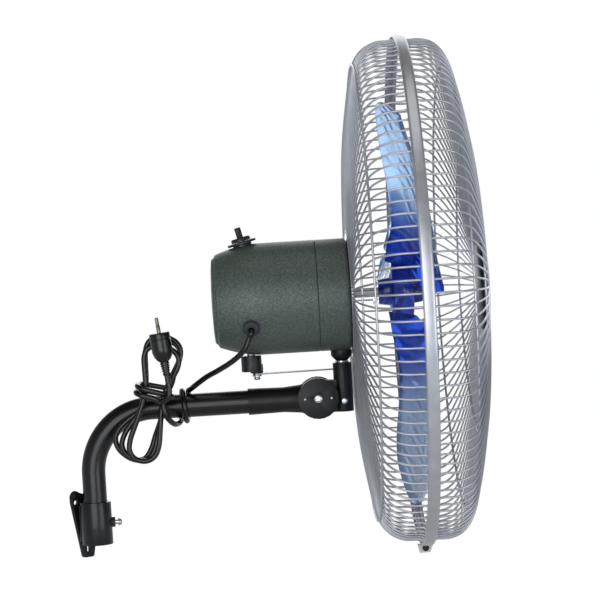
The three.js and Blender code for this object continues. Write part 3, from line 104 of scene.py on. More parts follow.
WALL = Matrix.Scale(MM, 4)
ARM = stand("arm_swivel")
TILT = stand("tilt")
NECK = stand("head_swing")
CRANK = stand("crank_turn")
GUARD = stand("rotor_spin")
RING_X = (NECK.inverted() @ GUARD.translation).x
HEAD = GUARD @ Matrix.Translation((-RING_X, 0, 0))
KNOB = stand("knob_turn", -math.acos(JOINTS["knob_turn"]["axis"][2]))
HEAD_IN_ARM = ARM.inverted() @ HEAD.translation
ALONG_Y = Matrix.Rotation(math.pi / 2, 4, "Z")
ALONG_Z = Matrix.Rotation(-math.pi / 2, 4, "Y")
BACKWARDS = Matrix.Rotation(math.pi, 4, "Z")

# ---- Sizes of the object, in millimetres ---------------------------------------------------------
SEAT_GAP = 0.3
ARM_RADIUS = 15
ARM_WALL = 2
ARM_HEIGHT = (ARM.inverted() @ TILT.translation).z
ARM_BEND_RADIUS = 80
KNUCKLE_START = 202
CHEEK_OUT = 19
MOTOR_RADIUS = 71
MOTOR_REAR = -161
MOTOR_REAR_RADIUS = 50
MOTOR_TAPER = 62
MOTOR_TAPER_POWER = 1.8
MOTOR_SEAM = -27
MOTOR_FRONT = 13.6
SHELL_WALL = 2.5
SHELL_CORNER = 6
RING_RADIUS = 325
RING_HALF_WIDTH = 7.5
RING_WALL = 1.5
RING_LIP = 3.5
RIM_WIRE_RADIUS = 1.8
RIM_RADIUS = RING_RADIUS - RING_WALL - SEAT_GAP - RIM_WIRE_RADIUS
RIM_X = RING_HALF_WIDTH - RING_WALL - SEAT_GAP - RIM_WIRE_RADIUS
EYE_REAR = 80
EYE_FRONT = 57
GUARD_DEPTH_REAR = 77.5
GUARD_DEPTH_FRONT = 95
PLATE_SCREW_CIRCLE = 48
PLATE_THICKNESS = 1.6
BADGE_RADIUS = 55.2
BLADE_TIP = 275
BLADE_SET_BACK = 12
BLADE_CAMBER = 9
BLADE_REST = math.radians(134)
HUB_RADIUS = 38
HUB_REAR = -42
HUB_FRONT = 2
SHAFT_RADIUS = 6
GROMMET_X = -113
GROMMET_DROP = math.radians(-27.5)
GROMMET_RADIUS = 10.8
GROMMET_STAND = 6
CORD_RADIUS = 3.5
TUBE_TURNS = 1.5
HANK_TURNS = 3
HANK_WRAPS = 2
HANK_LAYER = 8.6
HANK_WAIST = (84, 157)
HANK_WAIST_HALF_WIDTH = 12
PLUG_LEAN = math.radians(97)
PLUG_RADIUS = 13
PLUG_LENGTH = 36
PLUG_RELIEF = 18
PIN_RADIUS = 2.1
PIN_LENGTH = 19
PIN_ASIDE = 5.7


# ---- What a user would change --------------------------------------------------------------------
def srgb(code):
    """A hex colour as linear red, green and blue."""
    shares = [int(code[i : i + 2], 16) / 255 for i in (0, 2, 4)]
    return tuple(s / 12.92 if s <= 0.04045 else ((s + 0.055) / 1.055) ** 2.4 for s in shares)


def colour(name, description, code):
    """A colour setting, its default given as hex."""
    return FloatVectorProperty(
        name=name, description=description, default=srgb(code), size=3, subtype="COLOR"
    )


def length(name, description, default, low, high):
    """A length setting in metres."""
    return FloatProperty(
        name=name, description=description, default=default, min=low, max=high, unit="LENGTH"
    )


class WallFanGuardSettings(bpy.types.PropertyGroup):
    """Wire guards"""

    wires: IntProperty(name="Wires", description="Wires round each guard", default=126, min=20, max=200)
    wire: length("Wire", "Radius of a guard wire", 0.0013, 0.0005, 0.003)
    silver: colour("Silver", "Lacquer on wires and ring", "c3c6cf")


class WallFanMotorSettings(bpy.types.PropertyGroup):
    """Motor and castings"""

    green: colour("Green", "Hammered paint", "3c4743")
    fleck: colour("Fleck", "Leaf in the hammered paint", "7c8884")
    black: colour("Black", "Enamel on arm and castings", "07080b")
    hammer: length("Hammer", "Width of a hammer mark", 0.0016, 0.001, 0.01)


class WallFanImpellerSettings(bpy.types.PropertyGroup):
    """Impeller"""

    blades: IntProperty(name="Blades", description="Blades round the hub", default=3, min=2, max=6)
    blue: colour("Blue", "Blades near the hub", "2c50c4")
    pale: colour("Pale", "Blades towards their tips", "a9cbf3")
    thickness: length("Thickness", "Of a blade at its middle", 0.003, 0.001, 0.006)


class WallFanStageSettings(bpy.types.PropertyGroup):
    """Camera and floor"""

    distance: length("Distance", "From camera to motor", 3.298, 1, 10)
    lens: FloatProperty(
        name="Lens", description="Focal length in millimetres", default=155.5, min=20, max=400
    )
    roll: FloatProperty(
        name="Roll", description="Tilt of the picture", default=math.radians(-3.38), subtype="ANGLE"
    )
    floor: colour("Floor", "Colour of the floor", "f4f4f4")


# ---- Materials -----------------------------------------------------------------------------------
RGBA = {"data_type": "RGBA"}


def add(tree, kind, settings=None, inputs=None):
    """Adds a node, makes its settings, and gives each input its value or the socket that feeds it."""
    node = tree.nodes.new(kind)
    for name, value in (settings or {}).items():
        setattr(node, name, value)
    for name, value in (inputs or {}).items():
        if isinstance(value, bpy.types.NodeSocket):
            tree.links.new(value, node.inputs[name])
        else:
            node.inputs[name].default_value = value
    return node


def per_metre(size_mm):
    """The texture scale that gives marks of a size in millimetres."""
    return 1 / (size_mm * MM)


def dimmed(rgb, share):
    """A colour made darker."""
    return tuple(share * c for c in rgb)


def coating(name, surface):
    """A new material with its shader's sockets set; gives the material, its tree and its shader."""
    made = bpy.data.materials.new(name)
    made.use_nodes = True
    shader = made.node_tree.nodes["Principled BSDF"]
    for socket, value in surface.items():
        shader.inputs[socket].default_value = value
    return made, made.node_tree, shader


def feed(tree, shader, sockets):
    """Links node outputs to the shader's sockets."""
    for name, output in sockets.items():
        tree.links.new(output, shader.inputs[name])


def drifting(
    name, surface, tones, cloud, rough, grain=None, relief=None, within=(0, 1), tint_from_grain=False
):
    """A coating whose tone and roughness drift with a cloud, with a finer grain in relief.

    A cloud or grain is its size in millimetres and its detail; relief is a strength and a depth in metres.
    Without a grain the cloud itself stands in relief.
    """
    made, tree, shader = coating(name, surface)
    place = add(tree, "ShaderNodeTexCoord").outputs["Object"]
    broad, fine = [
        add(tree, "ShaderNodeTexNoise", None, {"Vector": place, "Scale": per_metre(mark), "Detail": detail})
        for mark, detail in (cloud, grain or cloud)
    ]
    spread = add(tree, "ShaderNodeMapRange", None, {
        "Value": broad.outputs["Fac"], "From Min": within[0], "From Max": within[1],
        "To Min": rough[0], "To Max": rough[1],
    })
    share = (fine if tint_from_grain else broad).outputs["Fac"]
    tint = add(tree, "ShaderNodeMix", RGBA, {0: share, 6: (*tones[0], 1), 7: (*tones[1], 1)})
    feed(tree, shader, {"Base Color": tint.outputs[2], "Roughness": spread.outputs[0]})
    if relief:
        bump = add(tree, "ShaderNodeBump", None, {
            "Height": fine.outputs["Fac"], "Strength": relief[0], "Distance": relief[1],
        })
        feed(tree, shader, {"Normal": bump.outputs[0]})
    return made


def gloss_enamel(black):
    """Stoved gloss enamel on steel tube: deep black with a cool sheen, and a faint orange peel."""
    surface = {"Roughness": 0.3, "Specular IOR Level": 0.35, "Coat Weight": 0.12}
    tones = (black, srgb("0d0f13"))
    return drifting("gloss_enamel", surface, tones, (35, 3), (0.2, 0.4), (2.2, 2), (0.12, 0.0002))


def cast_enamel(black):
    """Enamel over sand casting: satin black, with the casting's grain showing through."""
    surface = {"Roughness": 0.45, "Specular IOR Level": 0.3}
    tones = (black, srgb("101216"))
    return drifting(
        "cast_enamel", surface, tones, (12, 4), (0.3, 0.55), (1.1, 4), (0.35, 0.0003), tint_from_grain=True
    )


def silver_lacquer(silver):
    """Aluminium lacquer on drawn wire: bright, a little uneven along its length."""
    surface = {"Metallic": 0.7, "Roughness": 0.33}
    return drifting("silver_lacquer", surface, (dimmed(silver, 0.72), silver), (18, 3), (0.26, 0.42))


def plain_metal(name, code, rough, mark, strength):
    """A bare or plated metal whose roughness and tone drift over marks of a size in millimetres."""
    tones = (dimmed(srgb(code), 0.75), srgb(code))
    return drifting(
        name, {"Metallic": 1.0}, tones, (mark, 4), rough, relief=(strength, 0.0001), within=(0.3, 0.7)
    )


def moulded(name, code, rough, grain, strength, specular=0.5):
    """Moulded plastic or rubber with a spark-eroded grain of a size in millimetres."""
    tones = (dimmed(srgb(code), 0.7), srgb(code))
    spread = (rough * 0.8, rough * 1.25)
    surface = {"Specular IOR Level": specular}
    return drifting(name, surface, tones, (14, 2), spread, (grain, 3), (strength, 0.0002))


def hammered_paint(green, fleck, hammer):
    """Hammer finish: aluminium leaf floats up between round marks in dark grey-green paint."""
    surface = {"Metallic": 0.3, "Roughness": 0.42, "Specular IOR Level": 0.35}
    made, tree, shader = coating("hammered_paint", surface)
    place = add(tree, "ShaderNodeTexCoord").outputs["Object"]
    size = {"Vector": place, "Scale": 1 / hammer}
    marks = add(tree, "ShaderNodeTexVoronoi", None, {**size, "Randomness": 1.0})
    leaf = add(tree, "ShaderNodeTexNoise", None, {**size, "Detail": 3, "Roughness": 0.65, "Distortion": 0.4})
    share = add(tree, "ShaderNodeMapRange", None, {
        "Value": leaf.outputs["Fac"], "From Min": 0.42, "From Max": 0.72, "To Min": 0.0, "To Max": 0.6,
    }).outputs[0]
    cloud = add(tree, "ShaderNodeTexNoise", None, {"Vector": place, "Scale": per_metre(30), "Detail": 2})
    tones = {6: (*green, 1), 7: (*srgb("48524e"), 1)}
    base = add(tree, "ShaderNodeMix", RGBA, {0: cloud.outputs["Fac"], **tones})
    tint = add(tree, "ShaderNodeMix", RGBA, {0: share, 6: base.outputs[2], 7: (*fleck, 1)})
    rough = add(tree, "ShaderNodeMapRange", None, {"Value": share, "To Min": 0.5, "To Max": 0.3})
    bump = add(tree, "ShaderNodeBump", None, {
        "Height": marks.outputs["Distance"], "Strength": 0.35, "Distance": 0.0004,
    })
    feed(tree, shader, {
        "Base Color": tint.outputs[2], "Roughness": rough.outputs[0], "Normal": bump.outputs[0],
    })
    return made


def clear_blue(blue, pale):
    """Clear styrene tinted blue: deep at the hub, paler outwards, its moulded ripple catching the light."""
    surface = {"Roughness": 0.1, "IOR": 1.5, "Transmission Weight": 0.8}
    made, tree, shader = coating("clear_blue", surface)
    to_hub = GUARD.inverted().translation * MM
    centred = add(tree, "ShaderNodeMapping", {"vector_type": "POINT"}, {
        "Vector": add(tree, "ShaderNodeTexCoord").outputs["Object"],
        "Rotation": (0, 0, -ARM_TURN),
        "Location": tuple(to_hub),
    }).outputs[0]
    apart = add(tree, "ShaderNodeSeparateXYZ", None, {"Vector": centred})
    across = add(tree, "ShaderNodeCombineXYZ", None, {"Y": apart.outputs["Y"], "Z": apart.outputs["Z"]})
    reach = add(tree, "ShaderNodeVectorMath", {"operation": "LENGTH"}, {0: across.outputs[0]})
    share = add(tree, "ShaderNodeMapRange", None, {
        "Value": reach.outputs["Value"], "From Min": 0.09, "From Max": 0.17,
    })
    tint = add(tree, "ShaderNodeMix", RGBA, {0: share.outputs[0], 6: (*blue, 1), 7: (*pale, 1)})
    ripple = add(tree, "ShaderNodeTexWave", {"wave_type": "RINGS", "rings_direction": "X"}, {
        "Vector": centred, "Scale": per_metre(70), "Distortion": 9, "Detail": 1, "Detail Scale": 1.2,
    })
    bump = add(tree, "ShaderNodeBump", None, {
        "Height": ripple.outputs["Fac"], "Strength": 0.6, "Distance": 0.0015,
    })
    feed(tree, shader, {"Base Color": tint.outputs[2], "Normal": bump.outputs[0]})
    return made


FINISHES = {}


def mix_finishes(scene):
    """Makes every material from the colours that the user set, once."""
    if FINISHES:
        return
    motor, guard, impeller = scene.wall_fan_motor, scene.wall_fan_guard, scene.wall_fan_impeller
    FINISHES.update(
        enamel=gloss_enamel(tuple(motor.black)),
        casting=cast_enamel(tuple(motor.black)),
        green=hammered_paint(tuple(motor.green), tuple(motor.fleck), motor.hammer),
        silver=silver_lacquer(tuple(guard.silver)),
        blue=clear_blue(tuple(impeller.blue), tuple(impeller.pale)),
        # Zinc plate on screws and nuts: cool and bright, a little cloudy
        zinc=plain_metal("zinc_plate", "c9ccd1", (0.18, 0.36), 4, 0.2),
        # Turned and rolled steel: grey, with fine tool marks
        steel=plain_metal("turned_steel", "a3a6ab", (0.26, 0.44), 1.5, 0.3),
        # Chrome plate on the badge's beads: nearly a mirror
        chrome=plain_metal("chrome_plate", "d5d7da", (0.05, 0.12), 20, 0.05),
        # Stacked core plates: dull and dark, rough at their edges
        core=plain_metal("core_plate_steel", "6f7278", (0.4, 0.6), 0.8, 0.5),
        # Varnished copper wire: reddish brown, its strands close together
        copper=plain_metal("varnished_copper_wire", "b8693a", (0.25, 0.45), 0.9, 0.8),
        # Die-cast aluminium: pale grey and matt
        aluminium=plain_metal("die_cast_aluminium", "a8abae", (0.4, 0.6), 1.5, 0.4),
        # Turned brass: warm yellow
        brass=plain_metal("turned_brass", "bd9d55", (0.25, 0.4), 2, 0.2),
        # Nickel plated brass pins: warm grey, with a soft shine
        nickel=plain_metal("nickel_plated_brass", "8d897c", (0.25, 0.4), 2, 0.2),
        # Black switch and badge plastic: satin, with a fine moulded grain
        plastic=moulded("black_abs", "17181c", 0.38, 0.7, 0.25),
        # Grommet rubber: dark grey and matt
        rubber=moulded("grey_rubber", "37383f", 0.6, 0.9, 0.35, 0.35),
        # Cord and plug: glossy black, almost smooth
        cord=moulded("gloss_pvc_sheath", "060709", 0.24, 6, 0.03, 0.45),
        # The ring's catch: pale grey plastic
        pale=moulded("pale_abs", "cfd1cf", 0.45, 0.8, 0.2),
    )


# ---- Shapes: lists of vertices and faces, in millimetres -----------------------------------------
def directions(count):
    """Cosine and sine at equal steps round a circle."""
    return [(math.cos(2 * math.pi * i / count), math.sin(2 * math.pi * i / count)) for i in range(count)]


def quarter(steps):
    """Cosine and sine at equal steps through a right angle, both ends kept."""
    return [(math.cos(math.pi / 2 * i / steps), math.sin(math.pi / 2 * i / steps)) for i in range(steps + 1)]


def turned(profile, sides=72):
    """[x, radius] points turned about x. A profile that ends where it starts makes a tube."""
    verts, faces, rows = [], [], []
    looped = profile[0] == profile[-1]
    for x, radius in profile[:-1] if looped else profile:
        rows.append(len(verts))
        if radius < 1e-6:
            verts.append(Vector((x, 0, 0)))
        else:
            verts += [Vector((x, radius * c, radius * s)) for c, s in directions(sides)]
    ends = rows[1:] + ([rows[0]] if looped else [])
    sizes = {start: (end - start) for start, end in zip(rows, rows[1:] + [len(verts)])}
    for low, high in zip(rows, ends):
        for i in range(sides):
            j = (i + 1) % sides
            below = [low] if sizes[low] == 1 else [low + j, low + i]
            above = [high] if sizes[high] == 1 else [high + i, high + j]
            if len(below) + len(above) > 2:
                faces.append(below + above)
    return verts, faces


def hoop(x, radius, wire, wire_sides, sides):
    """A round wire bent into a circle about x."""
    section = [(x + wire * c, radius + wire * s) for c, s in directions(wire_sides)]
    return turned([*section, section[0]], sides)


def rod(start, end, radius, edge=0.0):
    """The profile of a closed cylinder, its edges cut back."""
    return [(start, 0), (start, radius - edge), (start + edge, radius), (end - edge, radius),
            (end, radius - edge), (end, 0)]


def lofted(rings):
    """Rings of equal length joined into one closed skin, with a face across each end."""
    count = len(rings[0])
    verts = [Vector(p) for ring in rings for p in ring]
    faces = []
    for row in range(len(rings) - 1):
        for i in range(count):
            j = (i + 1) % count
            low, high = row * count, (row + 1) * count
            faces.append([low + i, low + j, high + j, high + i])
    faces.append(list(range(count)))
    faces.append([len(verts) - 1 - i for i in range(count)])
    return verts, faces


def swept(path, radius, sides):
    """A closed round tube along a path; radius may be a function of the share of the path."""
    points = [Vector(p) for p in path]
    last = len(points) - 1
    along = [(points[min(i + 1, last)] - points[max(i - 1, 0)]).normalized() for i in range(last + 1)]
    side = along[0].orthogonal().normalized()
    rings = []
    for i, point in enumerate(points):
        side = (side - along[i] * side.dot(along[i])).normalized()
        rise = along[i].cross(side)
        r = radius(i / last) if callable(radius) else radius
        rings.append([point + r * (c * side + s * rise) for c, s in directions(sides)])
    return lofted(rings)


def moved(shape, *steps):
    """The shape under each matrix in turn, or moved by each vector."""
    verts, faces = shape
    for step in steps:
        matrix = step if isinstance(step, Matrix) else Matrix.Translation(step)
        verts = [matrix @ v for v in verts]
    return verts, faces


def merged(shapes):
    """Several shapes as one."""
    verts, faces = [], []
    for more, loops in shapes:
        faces += [[i + len(verts) for i in loop] for loop in loops]
        verts += more
    return verts, faces


FLAT_ANGLE = math.radians(1.5)


def as_cad(node):
    """A CAD node's own shape, its loose triangles joined and its flat faces whole."""
    work = bmesh.new()
    work.from_mesh(NODES[node].data)
    work.transform(Matrix.Scale(1 / MM, 4))
    bmesh.ops.remove_doubles(work, verts=work.verts, dist=0.004)
    bmesh.ops.dissolve_limit(work, angle_limit=FLAT_ANGLE, verts=work.verts, edges=work.edges)
    work.verts.index_update()
    shape = [v.co.copy() for v in work.verts], [[v.index for v in f.verts] for f in work.faces]
    work.free()
    return shape


def as_object(name, shape, edges=()):
    """A linked mesh object of a shape, its faces turned outwards."""
    mesh = bpy.data.meshes.new(name)
    mesh.from_pydata(shape[0], list(edges), shape[1])
    work = bmesh.new()
    work.from_mesh(mesh)
    if shape[1]:
        bmesh.ops.remove_doubles(work, verts=work.verts, dist=0.001)
        bmesh.ops.recalc_face_normals(work, faces=work.faces)
    work.to_mesh(mesh)
    work.free()
    made = bpy.data.objects.new(name, mesh)
    bpy.context.scene.collection.objects.link(made)
    return made


def settled(made):
    """The object with its modifiers turned into plain mesh."""
    bpy.context.view_layer.update()
    ready = made.evaluated_get(bpy.context.evaluated_depsgraph_get())
    mesh = bpy.data.meshes.new_from_object(ready)
    made.modifiers.clear()
    made.data = mesh
    return made


def hollowed(shape, cutters):
    """The shape less the cutters, worked out on closed meshes."""
    body = as_object("body", shape)
    tools = [as_object("cutter", cutter) for cutter in cutters]
    for tool in tools:
        cut = body.modifiers.new("cut", "BOOLEAN")
        cut.operation, cut.solver, cut.object = "DIFFERENCE", "EXACT", tool
    settled(body)
    result = [v.co.copy() for v in body.data.vertices], [list(p.vertices) for p in body.data.polygons]
    for spare in [body, *tools]:
        bpy.data.objects.remove(spare)
    return result


SMOOTH_UNDER = math.radians(38)
ROUND_OVER = math.radians(40)
WIRE_SMOOTH_UNDER = math.radians(80)


def placed(made, where, finish, body, replaces=(), sharp=SMOOTH_UNDER):
    """Puts a drawn object in its place in the row's frame, with its finish and any one body, and hides the
    CAD parts it replaces.
    """
    made.data.transform(where)
    made.data.materials.clear()
    made.data.materials.append(FINISHES[finish])
    made.data.shade_smooth()
    made.data.set_sharp_from_angle(angle=sharp)
    if body:
        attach(made, body)
    if replaces:
        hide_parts(*replaces)
    return made


def piece(name, shape, where, finish, body, replaces=(), round_edge=0.0, sharp=SMOOTH_UNDER):
    """One finished piece from a shape, with its sharp edges rounded to a radius in millimetres."""
    made = as_object(name, shape)
    if round_edge:
        bevel = made.modifiers.new("round", "BEVEL")
        bevel.width, bevel.segments, bevel.limit_method = round_edge, 2, "ANGLE"
        bevel.angle_limit = ROUND_OVER
        settled(made)
    return placed(made, where, finish, body, replaces, sharp)


def as_built(name, node, finish, body, round_edge):
    """A piece that keeps its CAD node's shape, with its edges rounded."""
    return piece(name, as_cad(node), WALL, finish, body, [node], round_edge)


def bare_cross(radius, depth):
    """The two slabs of a cross recess, sunk into x = 0 from the front."""
    wide, long, taper = radius * 0.2, radius * 0.62, 0.75
    slabs = []
    for half_y, half_z in ((long, wide), (wide, long)):
        front = [(-1, y * half_y, z * half_z) for y, z in ((-1, -1), (1, -1), (1, 1), (-1, 1))]
        back = [(depth, taper * y, taper * z) for _, y, z in front]
        slabs.append(lofted([front, back]))
    return slabs


def screw_head(radius, height):
    """A pan head seen along +x, its top at x = 0 and its seat at x = height, with a cross recess."""
    crown = [(0, 0), (0, radius * 0.45), (height * 0.12, radius * 0.72), (height * 0.4, radius * 0.93),
             (height * 0.75, radius), (height, radius), (height, 0)]
    return hollowed(turned(crown, 40), bare_cross(radius, height * 0.7))


# ---- Repeated pieces -----------------------------------------------------------------------------
def new_tree(name, **sizes):
    """A geometry tree with a geometry in and out, and sizes of given kinds; gives it and its inputs."""
    tree = bpy.data.node_groups.new(name, "GeometryNodeTree")
    tree.interface.new_socket("Geometry", in_out="INPUT", socket_type="NodeSocketGeometry")
    for size, kind in sizes.items():
        tree.interface.new_socket(size, in_out="INPUT", socket_type=f"NodeSocket{kind}")
    tree.interface.new_socket("Geometry", in_out="OUTPUT", socket_type="NodeSocketGeometry")
    return tree, add(tree, "NodeGroupInput").outputs


def close_tree(tree, geometry, finish):
    """Ends a tree: real geometry, with its material."""
    real = add(tree, "GeometryNodeRealizeInstances", None, {"Geometry": geometry})
    coated = add(tree, "GeometryNodeSetMaterial", None, {"Geometry": real.outputs[0], "Material": finish})
    add(tree, "NodeGroupOutput", None, {"Geometry": coated.outputs[0]})
    return tree


def round_axis(tree, geometry, count):
    """Copies of the geometry at equal turns about x."""
    single = add(tree, "GeometryNodeGeometryToInstance", None, {"Geometry": geometry}).outputs[0]
    copies = add(tree, "GeometryNodeDuplicateElements", {"domain": "INSTANCE"}, {
        "Geometry": single, "Amount": count,
    }).outputs
    step = add(tree, "ShaderNodeMath", {"operation": "DIVIDE"}, {0: 2 * math.pi, 1: count}).outputs[0]
    angle = add(tree, "ShaderNodeMath", {"operation": "MULTIPLY"}, {0: copies["Duplicate Index"], 1: step})
    euler = add(tree, "ShaderNodeCombineXYZ", None, {"X": angle.outputs[0]})
    turn = add(tree, "FunctionNodeEulerToRotation", None, {"Euler": euler.outputs[0]})
    return add(tree, "GeometryNodeRotateInstances", None, {
        "Instances": copies["Geometry"], "Rotation": turn.outputs[0], "Local Space": False,
    }).outputs[0]


def cage_tree():
    """One drawn wire made round, and copied round the fan's axis."""
    tree, sizes = new_tree("wire_cage", Wires="Int", Thickness="Float", Finish="Material")
    line = add(tree, "GeometryNodeMeshToCurve", None, {"Mesh": sizes["Geometry"]})
    section = add(tree, "GeometryNodeCurvePrimitiveCircle", {"mode": "RADIUS"}, {
        "Resolution": 6, "Radius": sizes["Thickness"],
    })
    wire = add(tree, "GeometryNodeCurveToMesh", None, {
        "Curve": line.outputs[0], "Profile Curve": section.outputs[0], "Fill Caps": True,
    })
    return close_tree(tree, round_axis(tree, wire.outputs[0], sizes["Wires"]), sizes["Finish"])


def ring_tree():
    """One small piece copied round the axis: blades, screws and ribs."""
    tree, sizes = new_tree("round_the_axis", Count="Int", Finish="Material")
    return close_tree(tree, round_axis(tree, sizes["Geometry"], sizes["Count"]), sizes["Finish"])


def bead_tree():
    """Small domes laid along a line, such as the ripples of a weld; their size varies from a fixed seed."""
    tree, sizes = new_tree(
        "beads_on_a_line", Pitch="Float", Radius="Float", Spread="Float", Seed="Int", Finish="Material"
    )
    line = add(tree, "GeometryNodeMeshToCurve", None, {"Mesh": sizes["Geometry"]})
    spots = add(tree, "GeometryNodeCurveToPoints", {"mode": "LENGTH"}, {
        "Curve": line.outputs[0], "Length": sizes["Pitch"],
    })
    bead = add(tree, "GeometryNodeMeshUVSphere", None, {
        "Segments": 12, "Rings": 8, "Radius": sizes["Radius"],
    })
    least = add(tree, "ShaderNodeMath", {"operation": "SUBTRACT"}, {0: 1.0, 1: sizes["Spread"]})
    scale = add(tree, "FunctionNodeRandomValue", {"data_type": "FLOAT"}, {
        2: least.outputs[0], 3: 1.0, "Seed": sizes["Seed"],
    })
    laid = add(tree, "GeometryNodeInstanceOnPoints", None, {
        "Points": spots.outputs["Points"], "Instance": bead.outputs["Mesh"], "Scale": scale.outputs[1],
    })
    return close_tree(tree, laid.outputs[0], sizes["Finish"])


def grown(name, shape, tree, edges=(), **values):
    """An object made by a geometry tree from a shape or a line, its sizes given by name."""
    made = as_object(name, shape, edges)
    grow = made.modifiers.new("grow", "NODES")
    grow.node_group = tree
    sockets = {s.name: s.identifier for s in tree.interface.items_tree if s.in_out == "INPUT"}
    for size, value in values.items():
        grow[sockets[size]] = value
    return settled(made)


def line_of(points):
    """A line's points as a shape with no faces, and the edges that join them."""
    return ([Vector(p) for p in points], []), [(i, i + 1) for i in range(len(points) - 1)]


def eased(points, per_span):
    """A centripetal spline through the points, as three.js draws one."""
    found = [Vector(p) for p in points]
    padded = [2 * found[0] - found[1], *found, 2 * found[-1] - found[-2]]
    line = [found[0].copy()]
    for p0, p1, p2, p3 in zip(padded, padded[1:], padded[2:], padded[3:]):
        t1 = max((p1 - p0).length, 1e-4) ** 0.5
        t2 = t1 + max((p2 - p1).length, 1e-4) ** 0.5
        t3 = t2 + max((p3 - p2).length, 1e-4) ** 0.5
        for step in range(1, per_span + 1):
            t = t1 + (t2 - t1) * step / per_span
            a1 = p0.lerp(p1, t / t1)
            a2 = p1.lerp(p2, (t - t1) / (t2 - t1))
            a3 = p2.lerp(p3, (t - t2) / (t3 - t2))
            b1 = a1.lerp(a2, t / t2)
            b2 = a2.lerp(a3, (t - t1) / (t3 - t1))
            line.append(b1.lerp(b2, (t - t1) / (t2 - t1)))
    return line


def blended(rows, per_span):
    """Rows of numbers with more rows between them, each number on a smooth curve."""
    padded = [rows[0], *rows, rows[-1]]
    made = [rows[0]]
    for spans in zip(padded, padded[1:], padded[2:], padded[3:]):
        for step in range(1, per_span + 1):
            t = step / per_span
            made.append([
                q + t * (r - p + t * (2 * p - 5 * q + 4 * r - s + t * (3 * q - p - 3 * r + s))) / 2
                for p, q, r, s in zip(*spans)
            ])
    return made


# ---- The cord's route, in the arm's frame --------------------------------------------------------
def shell_radius(x):
    """The motor's outer radius at a distance x from the swing axis."""
    share = min(max((x - MOTOR_REAR) / MOTOR_TAPER, 0), 1)
    fall = MOTOR_RADIUS - MOTOR_REAR_RADIUS - SHELL_CORNER
    return MOTOR_RADIUS - fall * (1 - share) ** MOTOR_TAPER_POWER


def level(angle):
    """A unit vector in the arm's upright plane."""
    return Vector((math.cos(angle), 0, math.sin(angle)))


GROMMET_SEAT = shell_radius(GROMMET_X) + 1.6
GROMMET_OUT = Vector((0, -math.cos(GROMMET_DROP), math.sin(GROMMET_DROP)))
GROMMET_FACING = GROMMET_OUT.to_track_quat("X", "Z").to_matrix().to_4x4()
GROMMET_TOP = GROMMET_SEAT + GROMMET_STAND + SEAT_GAP
CORD_EXIT = HEAD_IN_ARM + Vector((GROMMET_X, 0, 0)) + GROMMET_OUT * GROMMET_TOP
TURNS_RADIUS = ARM_RADIUS + CORD_RADIUS + 0.9
TURNS_PITCH = 2 * CORD_RADIUS + 1.2
TURNS_START = Vector((127, 0, ARM_HEIGHT + TURNS_RADIUS))
LEAD_IN = Vector((-0.42, 0.84, -0.34)).normalized()
HANK_START = TURNS_START + Vector((2.2, -5, 1.2)) - LEAD_IN * 2 * CORD_RADIUS
RUN_MIDDLE = Vector((178, -57, 193))
RUN_TWO = [Vector((165, -46, 185.5)), Vector((152, -33, 178.5)), HANK_START - LEAD_IN * 9]
RUN_JOIN = RUN_TWO[0].lerp(RUN_MIDDLE, 0.5)
RUN_ONE = [
    CORD_EXIT,
    CORD_EXIT + GROMMET_OUT * 6,
    CORD_EXIT + Vector((-3, -3.9, -9)),
    CORD_EXIT + Vector((-9, -2.9, -22)),
    CORD_EXIT + Vector((-20, 3.1, -33)),
    RUN_MIDDLE,
    RUN_JOIN,
]
HANK_BACK = -(TURNS_RADIUS + 2 * CORD_RADIUS + 5)
HANK_FRONT = HANK_BACK - HANK_LAYER * HANK_TURNS
HANK_MIDDLE = (HANK_BACK + HANK_FRONT) / 2
WRAP_ASIDE = HANK_WAIST_HALF_WIDTH + 2 * CORD_RADIUS + 4
WRAP_DEEP = (HANK_BACK - HANK_FRONT) / 2 + 2 * CORD_RADIUS + 1.8
UPPER_AXIS = math.radians(75)
WAIST_TOP = 16
PLUG_FOOT = Vector((103, HANK_MIDDLE - WRAP_DEEP - 2 * CORD_RADIUS - 2, 186))
PLUG_AXIS = level(PLUG_LEAN)
PER_TURN = 24


def hank_point(turn):
    """The hank's middle line: up its right side, over, down the left and under."""
    phase = 2 * math.pi * turn - math.pi / 2
    progress = turn / HANK_TURNS
    c, s = math.cos(phase), math.sin(phase)
    upper = c > 0
    reach = 62 + 16 * math.sin(math.pi * progress) if upper else 80 + 3 * progress
    swell = 38 if upper else 24 + 24 * progress
    lean = 0 if upper else math.radians(-8 + 34 * progress)
    along = reach * c
    aside = -s * (HANK_WAIST_HALF_WIDTH + swell * c * c)
    share = min(max((-along - 10) / 38, 0), 1)
    bend = lean * share * share * (3 - 2 * share)
    spine = Vector((HANK_WAIST[0], 0, HANK_WAIST[1])) + level(UPPER_AXIS) * max(along, -WAIST_TOP)
    if along < -WAIST_TOP:
        spine += level(UPPER_AXIS - bend * 0.75) * (along + WAIST_TOP)
    spine += level(UPPER_AXIS - bend - math.pi / 2) * aside
    spine.y = HANK_FRONT + HANK_LAYER * turn
    return spine


def wrap_point(wrap):
    """The wraps round the hank's waist."""
    phase = 2 * math.pi * wrap
    squared = [math.copysign(math.sqrt(abs(v)), v) for v in (math.cos(phase), math.sin(phase))]
    return (
        Vector((HANK_WAIST[0], HANK_MIDDLE, HANK_WAIST[1]))
        + level(UPPER_AXIS) * (15 - TURNS_PITCH * wrap)
        + level(UPPER_AXIS - math.pi / 2) * WRAP_ASIDE * squared[0]
        + Vector((0, WRAP_DEEP * squared[1], 0))
    )


